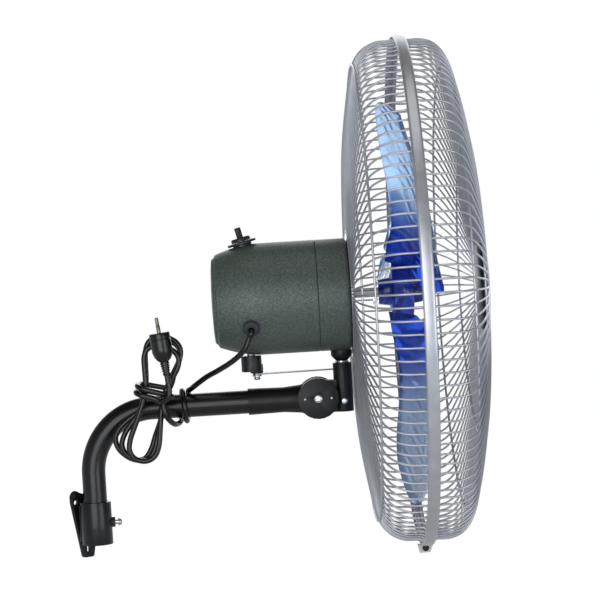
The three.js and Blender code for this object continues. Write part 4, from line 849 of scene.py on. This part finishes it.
def hank_route():
    """The whole hank: round the arm, through its turns and wraps, and up to the plug."""
    route = [HANK_START, HANK_START + LEAD_IN * 2 * CORD_RADIUS]
    for i in range(1, int(TUBE_TURNS * PER_TURN) + 1):
        a = math.pi / 2 + 2 * math.pi * i / PER_TURN
        x = TURNS_START.x - TURNS_PITCH * i / PER_TURN
        route.append(Vector((x, -TURNS_RADIUS * math.cos(a), ARM_HEIGHT + TURNS_RADIUS * math.sin(a))))
    leave = route[-1]
    route.append(Vector((leave.x - 2, -19, leave.z - 1)))
    route.append(Vector((leave.x - 8, -42, leave.z + 1)))
    route.append(Vector((leave.x - 16, HANK_FRONT - 1, leave.z + 13)))
    route += [hank_point(i / PER_TURN) for i in range(HANK_TURNS * PER_TURN + 3)]
    route += [wrap_point(i / PER_TURN) for i in range(4, int((HANK_WRAPS - 0.25) * PER_TURN) + 1)]
    end = route[-1]
    route.append(end + Vector((10, -3, -4)))
    route.append(end + Vector((19, -8.5, 1)))
    return route + [PLUG_FOOT - PLUG_AXIS * before for before in (16, 7, 0)]


class WALLFAN_OT_cord(bpy.types.Operator):
    """Makes the mains lead: two free runs, the hank and the plug"""

    bl_idname = "wallfan.cord"
    bl_label = "Cord and Plug"

    RIBS = 5
    RIB_PITCH = 3.1
    GROOVE = 0.8

    def execute(self, context):
        mix_finishes(context.scene)
        plug = self.plug()
        upper, upper_line = self.lead("lead_upper", RUN_ONE, 5, 16, "cord_run_1")
        lower, lower_line = self.lead("lead_lower", [RUN_JOIN, *RUN_TWO, HANK_START], 6, 16, "cord_run_2")
        hank, hank_line = self.lead("lead_hank", hank_route(), 4, 14, "cord_hank", "arm")
        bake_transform(upper)
        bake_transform(lower)
        self.declare(upper, upper_line, "object")
        self.declare(lower, lower_line, "object")
        self.declare(hank, hank_line, "plug", plug, "coiled")
        return {"FINISHED"}

    def lead(self, name, points, per_span, sides, node, body=None):
        """One stretch of the lead as a mesh tube, with its centre line in the arm's frame."""
        line = eased(points, per_span)
        tube = as_object(name, swept(line, CORD_RADIUS, sides))
        return placed(tube, ARM, "cord", body, [node]), line

    def declare(self, made, line, far_end, with_pieces=(), lay="loose"):
        """Takes a stretch, its centre line, what is on its end and how it lies, and does nothing with them.
        """

    def plug(self):
        """A moulded two pin plug: ribbed strain relief, round body and pins with shrouded feet."""
        ribs = []
        for i in range(self.RIBS):
            x = 2 + i * self.RIB_PITCH
            radius = CORD_RADIUS + 1.2 + 0.35 * i
            low = radius - self.GROOVE
            ribs += [(x, radius), (x + 1.6, radius), (x + 1.9, low), (x + 2.8, low)]
        relief = PLUG_RELIEF
        nose = relief + PLUG_LENGTH
        full, sunk = PLUG_RADIUS, PLUG_RADIUS - 0.6
        body = turned(
            [(0, 0), (0, CORD_RADIUS + 0.6), *ribs, (relief + 2, full * 0.66), (relief + 6, full * 0.86),
             (relief + 12, full * 0.99), (relief + 15, full), (nose - 9, full), (nose - 8.4, sunk),
             (nose - 7.6, sunk), (nose - 7, full), (nose - 2, full), (nose - 0.6, sunk), (nose, full - 2),
             (nose, 0)],
            48,
        )
        tip = nose + PIN_LENGTH
        foot = PIN_RADIUS + 0.2
        pin = turned([(nose - 1, 0), (nose - 1, foot), (nose + 8, foot), (nose + 8.3, PIN_RADIUS),
                      (tip - 1, PIN_RADIUS), (tip, 1.2), (tip, 0)], 20)
        pins = merged([moved(pin, Vector((0, side, 0))) for side in (-PIN_ASIDE, PIN_ASIDE)])
        where = ARM @ Matrix.Translation(PLUG_FOOT) @ Matrix.Rotation(-PLUG_LEAN, 4, "Y")
        made = piece("plug_moulding", body, where, "cord", "arm", ["power_plug"])
        return [made, piece("plug_pins", pins, where, "nickel", "arm")]


# ---- Stage ---------------------------------------------------------------------------------------
class WALLFAN_OT_stage(bpy.types.Operator):
    """Sets the camera, the pale floor and the soft lights"""

    bl_idname = "wallfan.stage"
    bl_label = "Stage"

    TARGET = Vector((275.4, 0, 266.6))
    ASIDE = math.radians(1.23)
    ABOVE = math.radians(2.41)
    FLOOR_DROP = 0.35
    FLOOR_HALF = 0.85
    # Metres along the arm, away from the camera and up; size in metres; watts
    SOFTBOXES = {
        "key": ((-0.6, -2.2, 0.1), 1.6, 24),
        "low_fill": ((1.4, -1.7, -0.15), 1.2, 11),
        "top": ((0.2, -0.4, 2.2), 1.6, 8),
        "back": ((0.3, 2.0, 0.7), 1.8, 18),
    }

    def execute(self, context):
        settings = context.scene.wall_fan_stage
        self.camera(context.scene, settings)
        self.floor(settings)
        self.sky(context.scene)
        for name, light in self.SOFTBOXES.items():
            self.softbox(name, *light)
        return {"FINISHED"}

    def camera(self, scene, settings):
        """The camera looks across the arm from the photograph's side."""
        data = bpy.data.cameras.new("camera")
        data.lens = settings.lens
        data.clip_end = 50
        made = bpy.data.objects.new("camera", data)
        turn = Matrix.Rotation(ARM_TURN - self.ASIDE, 4, "Z")
        turn = turn @ Matrix.Rotation(math.pi / 2 - self.ABOVE, 4, "X")
        turn = turn @ Matrix.Rotation(settings.roll, 4, "Z")
        back = turn.to_3x3() @ Vector((0, 0, settings.distance))
        made.matrix_world = Matrix.Translation(ARM @ self.TARGET + back) @ turn
        scene.collection.objects.link(made)
        scene.camera = made

    def floor(self, settings):
        """A pale floor below the fan."""
        low = CAD_BOX[0].z - self.FLOOR_DROP
        corners = [Vector((x, y, 0)) * self.FLOOR_HALF for x, y in ((-1, -1), (1, -1), (1, 1), (-1, 1))]
        made = as_object("floor", (corners, [[0, 1, 2, 3]]))
        made.data.transform(Matrix.Translation((*(ARM @ self.TARGET).xy, low)))
        paint, tree, shader = coating("floor_paint", {"Roughness": 0.9, "Base Color": (*settings.floor, 1)})
        place = add(tree, "ShaderNodeTexCoord").outputs["Object"]
        cloud = add(tree, "ShaderNodeTexNoise", None, {"Vector": place, "Scale": 1.5, "Detail": 2}).outputs
        rough = add(tree, "ShaderNodeMapRange", None, {"Value": cloud["Fac"], "To Min": 0.8, "To Max": 1})
        feed(tree, shader, {"Roughness": rough.outputs[0]})
        made.data.materials.append(paint)

    def sky(self, scene):
        """White behind the fan; what its surfaces reflect is white below and dim and warm above."""
        world = bpy.data.worlds.new("studio")
        world.use_nodes = True
        tree = world.node_tree
        tree.nodes.clear()
        place = add(tree, "ShaderNodeTexCoord").outputs["Generated"]
        height = add(tree, "ShaderNodeSeparateXYZ", None, {"Vector": place}).outputs["Z"]
        share = add(tree, "ShaderNodeMapRange", None, {"Value": height, "From Min": -0.25, "From Max": 0.75})
        tones = {6: (*srgb("e8ecf2"), 1), 7: (*srgb("6d6759"), 1)}
        tint = add(tree, "ShaderNodeMix", RGBA, {0: share.outputs[0], **tones})
        studio = add(tree, "ShaderNodeBackground", None, {"Color": tint.outputs[2], "Strength": 0.75})
        white = add(tree, "ShaderNodeBackground", None, {"Color": (1, 1, 1, 1), "Strength": 1.0})
        direct = add(tree, "ShaderNodeLightPath").outputs["Is Camera Ray"]
        both = add(tree, "ShaderNodeMixShader", None, {0: direct, 1: studio.outputs[0], 2: white.outputs[0]})
        add(tree, "ShaderNodeOutputWorld", None, {"Surface": both.outputs[0]})
        scene.world = world
        scene.view_settings.view_transform = "Standard"

    def softbox(self, name, offset, size, power):
        """A square soft light that faces the fan."""
        data = bpy.data.lights.new(name, "AREA")
        data.size, data.energy = size, power
        made = bpy.data.objects.new(name, data)
        reach = Matrix.Rotation(ARM_TURN, 3, "Z") @ Vector(offset)
        made.location = ARM @ self.TARGET + reach
        made.rotation_mode = "QUATERNION"
        made.rotation_quaternion = (-reach).to_track_quat("-Z", "Y")
        bpy.context.scene.collection.objects.link(made)


# ---- Bracket and arm -----------------------------------------------------------------------------
class WALLFAN_OT_bracket(bpy.types.Operator):
    """Makes the wall plate, its socket, the weld and the set screw"""

    bl_idname = "wallfan.bracket"
    bl_label = "Wall Bracket"

    WELD_OUT = 1.9
    WELD_ASIDE = 11.2
    WELD_INSET = 5
    SCREW_TIP = 15.3
    SCREW_END = 32.3

    def execute(self, context):
        mix_finishes(context.scene)
        as_built("plate_enamelled", "wall_plate", "casting", "wall_bracket", 0.9)
        as_built("socket_enamelled", "socket_tube", "enamel", "wall_bracket", 0.5)
        self.welds()
        self.set_screw()
        return {"FINISHED"}

    def welds(self):
        """Ripples of weld metal down both sides of the socket, under the enamel."""
        low, high = (corner.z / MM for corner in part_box("socket_tube"))
        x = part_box("wall_plate")[1].x / MM + self.WELD_OUT
        for side in (-1, 1):
            y = side * self.WELD_ASIDE
            shape, edges = line_of([(x, y, low + self.WELD_INSET), (x, y, high - self.WELD_INSET)])
            made = grown(f"weld_ripples_{side + 2}", shape, bead_tree(), edges, Pitch=2.1, Radius=2.0,
                         Spread=0.35, Seed=7 + side, Finish=FINISHES["enamel"])
            placed(made, WALL, "enamel", "wall_bracket")

    def set_screw(self):
        """A pan head screw through the boss, along the arm."""
        height = (middle_of("arm_set_screw") - ARM.translation).z / MM
        end = self.SCREW_END
        shank = turned(rod(self.SCREW_TIP, end - 1, 3, 0.5), 24)
        crown = moved(screw_head(4.6, 5), BACKWARDS, Vector((end, 0, 0)))
        piece("set_screw", merged([shank, crown]), ARM @ Matrix.Translation((0, 0, height)), "zinc",
              "wall_bracket", ["arm_set_screw"])


class WALLFAN_OT_arm(bpy.types.Operator):
    """Makes the bent tube, the knuckle with its rivets, and the tilt bolt with its nut"""

    bl_idname = "wallfan.arm"
    bl_label = "Arm and Knuckle"

    RIVET_STEP = 16.8
    RIVET = [(-0.9, 0), (-0.8, 0.9), (-0.4, 1.6), (0.2, 1.9), (0.2, 0)]
    BOLT_HEAD = 3.4
    FOOT = -22.4
    END = KNUCKLE_START + 30
    STRAIGHT_STEPS = 6
    BEND_STEPS = 30
    SIDES = 48

    def execute(self, context):
        mix_finishes(context.scene)
        self.tube()
        as_built("knuckle_casting", "arm_knuckle", "casting", "arm", 1.1)
        self.fasteners()
        return {"FINISHED"}

    def tube(self):
        """Steel tube bent through a quarter turn; its foot is open."""
        bend, steps = ARM_BEND_RADIUS, self.STRAIGHT_STEPS
        low = ARM_HEIGHT - bend
        path = [Vector((0, 0, self.FOOT + (low - self.FOOT) * i / steps)) for i in range(steps)]
        path += [Vector((bend * (1 - c), 0, low + bend * s)) for c, s in quarter(self.BEND_STEPS)]
        path += [Vector((bend + (self.END - bend) * i / steps, 0, ARM_HEIGHT)) for i in range(1, steps + 1)]
        bore = [path[0] - Vector((0, 0, 1)), *path[1:-1], path[-1] + Vector((1, 0, 0))]
        outer = swept(path, ARM_RADIUS, self.SIDES)
        tube = hollowed(outer, [swept(bore, ARM_RADIUS - ARM_WALL, self.SIDES)])
        piece("arm_tube_enamelled", tube, ARM, "enamel", "arm", ["arm_tube"])

    def fasteners(self):
        """The tilt bolt's cross head, its nut, and a rivet each side of both."""
        seat = CHEEK_OUT + SEAT_GAP
        shank = turned(rod(-seat - 0.5, seat + 9, 4, 0.6), 28)
        crown = moved(screw_head(6.2, self.BOLT_HEAD), Vector((-seat - self.BOLT_HEAD, 0, 0)))
        bolt = moved(merged([shank, crown]), ALONG_Y)
        piece("tilt_bolt_zinc", bolt, TILT, "zinc", "arm", ["tilt_bolt"])
        as_built("tilt_nut_zinc", "tilt_nut", "zinc", "arm", 0.5)
        rivet = turned(self.RIVET, 20)
        steps = [Vector((x, -CHEEK_OUT, 0)) for x in (-self.RIVET_STEP, self.RIVET_STEP)]
        rivets = merged([moved(rivet, ALONG_Y, step) for step in steps])
        piece("knuckle_rivets", rivets, TILT, "zinc", "arm")


class WALLFAN_OT_neck(bpy.types.Operator):
    """Makes the neck casting with its clamp screw, washer, and a row of small bumps whose bright steel is a
    painted glint
    """

    bl_idname = "wallfan.neck"
    bl_label = "Neck"

    HOUSING_RADIUS = 12
    CLAMP_Z = 136
    CLAMP_HEAD = 2.4
    GLINT_BEADS_LOW = 148
    GLINT_BEADS_HIGH = 172

    def execute(self, context):
        mix_finishes(context.scene)
        as_built("neck_casting", "neck_yoke", "casting", "neck", 0.8)
        as_built("washer_zinc", "pivot_washer", "zinc", "neck", 0.3)
        x = (ARM.inverted() @ NECK.translation).x
        front = self.HOUSING_RADIUS
        crown = moved(screw_head(4.4, self.CLAMP_HEAD), Vector((-self.CLAMP_HEAD, 0, 0)), ALONG_Y,
                      Vector((x, -front - SEAT_GAP, self.CLAMP_Z)))
        piece("clamp_screw", crown, ARM, "zinc", "neck", ["neck_clamp_screw"])
        # Small bumps down the housing's front; they are real relief, but their bright bare steel on the black
        # enamelled casting is a painted glint
        shape, edges = line_of([(x, -front, self.GLINT_BEADS_LOW), (x, -front, self.GLINT_BEADS_HIGH)])
        made = grown("glinting_bead_line", shape, bead_tree(), edges, Pitch=3.0, Radius=0.55, Spread=0.3, Seed=3,
                     Finish=FINISHES["steel"])
        placed(made, ARM, "steel", "neck")
        return {"FINISHED"}


# ---- Motor head ----------------------------------------------------------------------------------
class WALLFAN_OT_motor(bpy.types.Operator):
    """Makes the motor's two shells, the pivot cup and the cord's grommet"""

    bl_idname = "wallfan.motor"
    bl_label = "Motor Shells"

    SEAM_CUT = 0.7
    STEPS = 14
    SIDES = 112
    CRANK_HOLE = turned(rod(-76, -50, 6.5), 32)
    SWITCH_HOLE = turned(rod(-25, 8, 12.3), 40)
    GROMMET_HOLE = turned(rod(40, 90, 7.1), 32)
    FRONT_CORNER = 5
    FRONT_BORE = SHAFT_RADIUS + 3
    GROMMET_DEPTH = 12
    GROMMET_NECK = GROMMET_RADIUS - 4.3

    def execute(self, context):
        mix_finishes(context.scene)
        self.rear()
        self.front()
        as_built("cup_casting", "pivot_cup", "casting", "head", 0.5)
        self.grommet()
        return {"FINISHED"}

    def rear(self):
        """The drawn steel rear shell, narrowing to a shallow dished end."""
        wall, edge, end, flat = SHELL_WALL, self.SEAM_CUT, MOTOR_REAR, MOTOR_REAR_RADIUS
        dish = [(end, 0), (end + 0.3, flat * 0.4), (end + 1, flat * 0.8)]
        corner = [(end + 2 + 3.1 * (1 - c), flat + 5 * s * 0.98) for c, s in quarter(6)]
        taper = [end + MOTOR_TAPER * (0.12 + 0.88 * i / self.STEPS) for i in range(self.STEPS + 1)]
        outer = [(x, shell_radius(x)) for x in taper]
        seam = [(MOTOR_SEAM - edge, MOTOR_RADIUS), (MOTOR_SEAM, MOTOR_RADIUS - edge),
                (MOTOR_SEAM, MOTOR_RADIUS - wall)]
        inner = [(x, r - wall) for x, r in reversed(outer)]
        inner += [(end + 6, flat - wall), (end + 3.5, flat * 0.7), (end + wall, 0)]
        to_head = HEAD.inverted()
        cutters = [
            moved(self.CRANK_HOLE, ALONG_Z, Vector(((to_head @ CRANK.translation).x, 0, 0))),
            moved(self.SWITCH_HOLE, ALONG_Z, to_head @ KNOB),
            moved(self.GROMMET_HOLE, GROMMET_FACING, Vector((GROMMET_X, 0, 0))),
        ]
        shape = hollowed(turned([*dish, *corner, *outer, *seam, *inner], self.SIDES), cutters)
        piece("shell_rear_painted", shape, HEAD, "green", "head", ["motor_shell_rear"])

    def front(self):
        """The front shell, closed by the face that the guard is screwed to."""
        start, wall, edge, corner = MOTOR_SEAM + SEAT_GAP, SHELL_WALL, self.SEAM_CUT, self.FRONT_CORNER
        back, inside = MOTOR_FRONT - wall, MOTOR_RADIUS - wall
        x, radius = MOTOR_FRONT - corner, MOTOR_RADIUS - corner
        turn = [(x + corner * s, radius + corner * c) for c, s in quarter(8)]
        profile = [(start, inside), (start, MOTOR_RADIUS - edge), (start + edge, MOTOR_RADIUS), *turn,
                   (MOTOR_FRONT, self.FRONT_BORE), (back, self.FRONT_BORE), (back, MOTOR_RADIUS - 6),
                   (MOTOR_FRONT - 6, inside), (start, inside)]
        piece("shell_front_painted", turned(profile, self.SIDES), HEAD, "green", "head",
              ["motor_shell_front"])

    def grommet(self):
        """A soft round grommet that stands out of the shell."""
        seat, radius, tall = GROMMET_SEAT, GROMMET_RADIUS, GROMMET_STAND
        bore, foot = CORD_RADIUS + SEAT_GAP, GROMMET_SEAT - self.GROMMET_DEPTH
        nose = [(seat + tall * 0.45 + tall * 0.55 * s, radius - 4 + 4 * c) for c, s in quarter(6)]
        profile = [(foot, bore), (foot, self.GROMMET_NECK), (seat, self.GROMMET_NECK), (seat, radius - 0.4),
                   (seat + 0.5, radius), *nose, (seat + tall, bore + 0.6), (seat + tall - 0.6, bore),
                   (foot, bore)]
        shape = moved(turned(profile, 56), GROMMET_FACING, Vector((GROMMET_X, 0, 0)))
        piece("grommet_rubber", shape, HEAD, "rubber", "head", ["cord_grommet"])


class WALLFAN_OT_switch(bpy.types.Operator):
    """Makes the speed switch: a round plate and a grip knob"""

    bl_idname = "wallfan.switch"
    bl_label = "Speed Switch"

    def execute(self, context):
        mix_finishes(context.scene)
        as_built("switch_plate_moulding", "switch_plate", "plastic", "head", 0.7)
        as_built("knob_moulding", "switch_knob", "plastic", "knob", 0.9)
        return {"FINISHED"}


class WALLFAN_OT_swing_drive(bpy.types.Operator):
    """Makes the crank, its screw, and the link to the neck"""

    bl_idname = "wallfan.swing_drive"
    bl_label = "Swing Drive"

    SCREW_RADIUS = 3
    SCREW_FLANGE = [(0, 0), (0, 3.6), (1.2, 4.4), (2.4, 4.4), (3.2, 3.6), (4.2, 3.6), (4.5, 6.0), (5.6, 6.2),
                    (6, 6.0), (6.2, SCREW_RADIUS)]

    def execute(self, context):
        mix_finishes(context.scene)
        as_built("crank_moulding", "crank", "plastic", "crank", 0.7)
        as_built("link_strip", "link_bar", "steel", "link", 0.3)
        self.screw()
        return {"FINISHED"}

    def screw(self):
        """The washer-faced screw under the crank."""
        low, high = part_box("crank_screw")
        tall = (high.z - low.z) / MM
        profile = [*self.SCREW_FLANGE, (tall, self.SCREW_RADIUS), (tall, 0)]
        shape = hollowed(turned(profile, 40), bare_cross(4.6, 1.6))
        where = Matrix.Translation((*middle_of("crank_screw").xy, low.z)) @ Matrix.Rotation(ARM_TURN, 4, "Z")
        piece("crank_screw_zinc", shape, where @ Matrix.Scale(MM, 4) @ ALONG_Z, "zinc", "crank",
              ["crank_screw"])


# ---- Guards and impeller, from the ring's plane --------------------------------------------------
class WALLFAN_OT_guards(bpy.types.Operator):
    """Makes both wire guards, the ring that clamps them, its catch, the centre plate and the badge"""

    bl_idname = "wallfan.guards"
    bl_label = "Guards"

    REAR = [(-RIM_X, RIM_RADIUS), (-9.5, 317.5), (-28, 316), (-44, 308.5), (-55, 296), (-61, 278), (-66, 251),
            (-71, 220), (-74.5, 190), (-77, 130), (-GUARD_DEPTH_REAR, EYE_REAR)]
    FRONT = [(RIM_X, RIM_RADIUS), (9.5, 317.5), (28, 317), (42, 312.5), (52, 303), (58.5, 290), (64, 270),
             (69, 250), (75, 220), (80.5, 190), (86, 140), (90.5, 95), (GUARD_DEPTH_FRONT - 1, EYE_FRONT)]
    HOOPS_REAR = [(*REAR[0], RIM_WIRE_RADIUS), (-59.8, 290, 1.5), (-71.2, 203, 1.3),
                  (*REAR[-1], RIM_WIRE_RADIUS)]
    HOOPS_FRONT = [(*FRONT[0], RIM_WIRE_RADIUS), (56.2, 289, 1.5), (78.1, 190, 1.3),
                   (*FRONT[-1], RIM_WIRE_RADIUS)]
    PER_SPAN = 4
    CROWN_STEPS = 12
    CROWN_FOOT = 0.3
    SCREW_HEIGHT = 2.6

    def execute(self, context):
        mix_finishes(context.scene)
        settings = context.scene.wall_fan_guard
        self.cage("rear", self.REAR, self.HOOPS_REAR, settings)
        self.cage("front", self.FRONT, self.HOOPS_FRONT, settings)
        self.ring()
        as_built("catch_moulding", "ring_clip", "pale", "head", 0.7)
        as_built("catch_screw", "clip_screw", "casting", "head", 0.5)
        as_built("centre_plate_zinc", "guard_mount_plate", "zinc", "head", 0.3)
        self.plate_screws()
        self.badge()
        return {"FINISHED"}

    def cage(self, name, profile, hoops, settings):
        """One guard: its wires round the axis, welded to hoops."""
        shape, edges = line_of(eased([(x, 0, r) for x, r in profile], self.PER_SPAN))
        made = grown(f"guard_{name}_wires", shape, cage_tree(), edges, Wires=settings.wires,
                     Thickness=settings.wire / MM, Finish=FINISHES["silver"])
        placed(made, GUARD, "silver", "head", [f"guard_{name}"], WIRE_SMOOTH_UNDER)
        rounds = merged([hoop(x, radius, wire, 8, 180) for x, radius, wire in hoops])
        piece(f"guard_{name}_hoops", rounds, GUARD, "silver", "head", sharp=WIRE_SMOOTH_UNDER)

    def ring(self):
        """A rolled band with a crown and turned-in lips."""
        half, lip, foot, steps = RING_HALF_WIDTH, RING_RADIUS - RING_LIP, self.CROWN_FOOT, self.CROWN_STEPS
        crown = []
        for i in range(steps + 1):
            a = math.pi * (1 - i / steps)
            rise = foot + (RING_LIP - foot) * math.sin(a) ** 0.8 if 0 < i < steps else 0
            crown.append((half * math.copysign(abs(math.cos(a)) ** 0.55, math.cos(a)), lip + rise))
        side, under = half - RING_WALL, RING_RADIUS - RING_WALL
        inner = [(side, lip), (side - 0.3, under - 0.6), (0, under), (0.3 - side, under - 0.6), (-side, lip)]
        band = turned([*crown, *inner, crown[0]], 256)
        piece("ring_band", band, GUARD, "silver", "head", ["guard_ring"])

    def plate_screws(self):
        """The four screws that hold the centre plate to the motor."""
        seat = MOTOR_FRONT + 2 * SEAT_GAP + PLATE_THICKNESS
        crown = moved(screw_head(5, self.SCREW_HEIGHT), BACKWARDS, Vector((seat + self.SCREW_HEIGHT, 0, 0)))
        shank = turned(rod(MOTOR_FRONT - 6, seat + 0.5, 2.5, 0.4), 16)
        first = math.pi / 4
        place = Vector((0, PLATE_SCREW_CIRCLE * math.cos(first), PLATE_SCREW_CIRCLE * math.sin(first)))
        screw = moved(merged([crown, shank]), place)
        made = grown("plate_screws", screw, ring_tree(), Count=4, Finish=FINISHES["zinc"])
        placed(made, HEAD, "zinc", "head", [f"guard_screw_{i}" for i in range(1, 5)])

    def badge(self):
        """A bare round badge: black dish, bright bead at its edge and a turned step."""
        front, edge = GUARD_DEPTH_FRONT - 1, BADGE_RADIUS
        dish = [(front - 8, 0), (front - 8, edge - 3), (front - 6, edge), (front - 2, edge),
                (front - 0.6, edge - 2), (front - 0.6, edge - 7), (front - 1.8, edge - 8), (front - 1.6, 36),
                (front - 0.2, 35), (front + 0.6, 25), (front + 1.7, 10), (front + 2, 0)]
        piece("badge_dish", turned(dish, 128), GUARD, "plastic", "head", ["badge_disc"])
        beads = merged([hoop(front - 0.4, *bead, 10, 128) for bead in ((edge - 4.5, 1.3), (35.4, 0.8))])
        piece("badge_beads", beads, GUARD, "chrome", "head")


class WALLFAN_OT_impeller(bpy.types.Operator):
    """Makes the three-bladed impeller and the nut that holds it"""

    bl_idname = "wallfan.impeller"
    bl_label = "Impeller"

    # Share of the span, reach to the front edge and to the rear one, pitch in degrees
    SECTIONS = ((0, 34, 30, 40), (0.05, 62, 29, 38), (0.12, 80, 28, 36), (0.3, 92, 24, 27), (0.5, 95, 44, 21),
                (0.7, 93, 76, 18), (0.85, 78, 90, 16), (0.95, 40, 70, 15), (1, -8, 44, 15),
                (1.01, -20, 30, 15))
    PER_SPAN = 5
    ACROSS = 18
    ROOT = HUB_RADIUS - 6
    NUT_RIBS = 16

    def execute(self, context):
        mix_finishes(context.scene)
        settings = context.scene.wall_fan_impeller
        blades = grown("blades", self.blade(settings.thickness / MM), ring_tree(), Count=settings.blades,
                       Finish=FINISHES["blue"])
        where = GUARD @ Matrix.Rotation(BLADE_REST, 4, "X")
        placed(blades, where, "blue", "rotor", ["impeller"])
        self.hub()
        self.nut()
        return {"FINISHED"}

    def blade(self, thickness):
        """One blade along +y, through its sections."""
        rings = []
        for share, front, rear, slant in blended(self.SECTIONS, self.PER_SPAN):
            half, sweep, pitch = (front + rear) / 2, (front - rear) / 2, math.radians(slant)
            camber = BLADE_CAMBER * (1 - 0.3 * share)
            top, under = [], []
            for k in range(self.ACROSS + 1):
                u = -math.cos(math.pi * k / self.ACROSS)
                thick = thickness / 2 * math.sqrt(max(0.0, 1 - 0.94 * u**6))
                for side, line in ((1, top), (-1, under)):
                    bow = camber * (1 - u * u) + side * thick
                    flat = u * half + sweep
                    x = flat * math.sin(pitch) + bow * math.cos(pitch)
                    z = flat * math.cos(pitch) - bow * math.sin(pitch)
                    line.append(Vector((x - BLADE_SET_BACK, self.ROOT + share * (BLADE_TIP - self.ROOT), z)))
            rings.append([*under, *reversed(top)])
        return lofted(rings)

    def hub(self):
        """The round hub, its boss behind and its bore along the shaft."""
        rear, front, radius, bore = HUB_REAR, HUB_FRONT, HUB_RADIUS, SHAFT_RADIUS + 0.3
        profile = [(rear, bore), (rear, 15), (rear + 1, 16), (rear + 14, 18), (rear + 16, 24),
                   (rear + 18, radius - 1), (rear + 19, radius), (front - 4, radius - 1.4),
                   (front - 1.5, radius - 2.6), (front, radius - 6), (front, bore), (rear, bore)]
        piece("impeller_hub", turned(profile, 96), GUARD, "blue", "rotor")

    def nut(self):
        """The left-hand nut, with ribs to grip."""
        seat, bore = HUB_FRONT + SEAT_GAP, SHAFT_RADIUS + 0.3
        cone = [(seat, bore), (seat, 15.6), (seat + 10, 14.8), (seat + 14, 13), (seat + 17.2, 9.6),
                (seat + 19.4, 5), (seat + 20, 0), (seat + 12, 0), (seat + 12, bore), (seat, bore)]
        piece("nut_cone", turned(cone, 64), GUARD, "blue", "rotor", ["spinner_nut"])
        ridge = [(seat + 0.8, 15.4, 0), (seat + 10, 14.7, 0), (seat + 15, 11.8, 0)]
        rib = swept(ridge, lambda share: 1.4 - 0.7 * share, 10)
        made = grown("nut_ribs", rib, ring_tree(), Count=self.NUT_RIBS, Finish=FINISHES["blue"])
        placed(made, GUARD, "blue", "rotor")


class WALLFAN_OT_inside(bpy.types.Operator):
    """Finishes the pieces inside the motor"""

    bl_idname = "wallfan.inside"
    bl_label = "Inner Pieces"

    INNER = {
        "steel": ["pivot_post", "motor_shaft", "front_bearing", "rear_bearing", "crank_shaft"],
        "core": ["stator_core", "rotor_core"],
        "copper": ["winding_front", "winding_rear"],
        "aluminium": ["rear_endshield", "gearbox_housing"],
        "brass": ["worm_wheel"],
        "plastic": ["switch_body", "capacitor"],
    }

    def execute(self, context):
        mix_finishes(context.scene)
        for finish, nodes in self.INNER.items():
            for node in nodes:
                NODES[node].data.materials.clear()
                NODES[node].data.materials.append(FINISHES[finish])
        return {"FINISHED"}


# ---- Panel and registration ----------------------------------------------------------------------
SETTINGS = {
    "wall_fan_guard": WallFanGuardSettings,
    "wall_fan_motor": WallFanMotorSettings,
    "wall_fan_impeller": WallFanImpellerSettings,
    "wall_fan_stage": WallFanStageSettings,
}
OPERATORS = (
    WALLFAN_OT_stage,
    WALLFAN_OT_cord,
    WALLFAN_OT_bracket,
    WALLFAN_OT_arm,
    WALLFAN_OT_neck,
    WALLFAN_OT_motor,
    WALLFAN_OT_switch,
    WALLFAN_OT_swing_drive,
    WALLFAN_OT_guards,
    WALLFAN_OT_impeller,
    WALLFAN_OT_inside,
)


class WALLFAN_PT_panel(bpy.types.Panel):
    """Lists the fan's settings, and its pieces in the order they are made"""

    bl_idname = "WALLFAN_PT_panel"
    bl_label = "Wall Fan"
    bl_space_type = "VIEW_3D"
    bl_region_type = "UI"
    bl_category = "Wall Fan"

    def draw(self, context):
        for group in SETTINGS:
            box = self.layout.box()
            for name in SETTINGS[group].__annotations__:
                box.prop(getattr(context.scene, group), name)
        for operator in OPERATORS:
            self.layout.operator(operator.bl_idname)


def register():
    """Adds the classes, and the settings to the scene."""
    for made in (*SETTINGS.values(), *OPERATORS, WALLFAN_PT_panel):
        bpy.utils.register_class(made)
    for name, group in SETTINGS.items():
        setattr(bpy.types.Scene, name, PointerProperty(type=group))


def unregister():
    """Takes the classes and settings away again."""
    for name in SETTINGS:
        delattr(bpy.types.Scene, name)
    for made in (WALLFAN_PT_panel, *reversed(OPERATORS), *SETTINGS.values()):
        bpy.utils.unregister_class(made)


def main():
    """Makes the whole fan."""
    register()
    for operator in OPERATORS:
        getattr(bpy.ops.wallfan, operator.bl_idname.split(".")[1])()


if __name__ == "__main__":
    main()
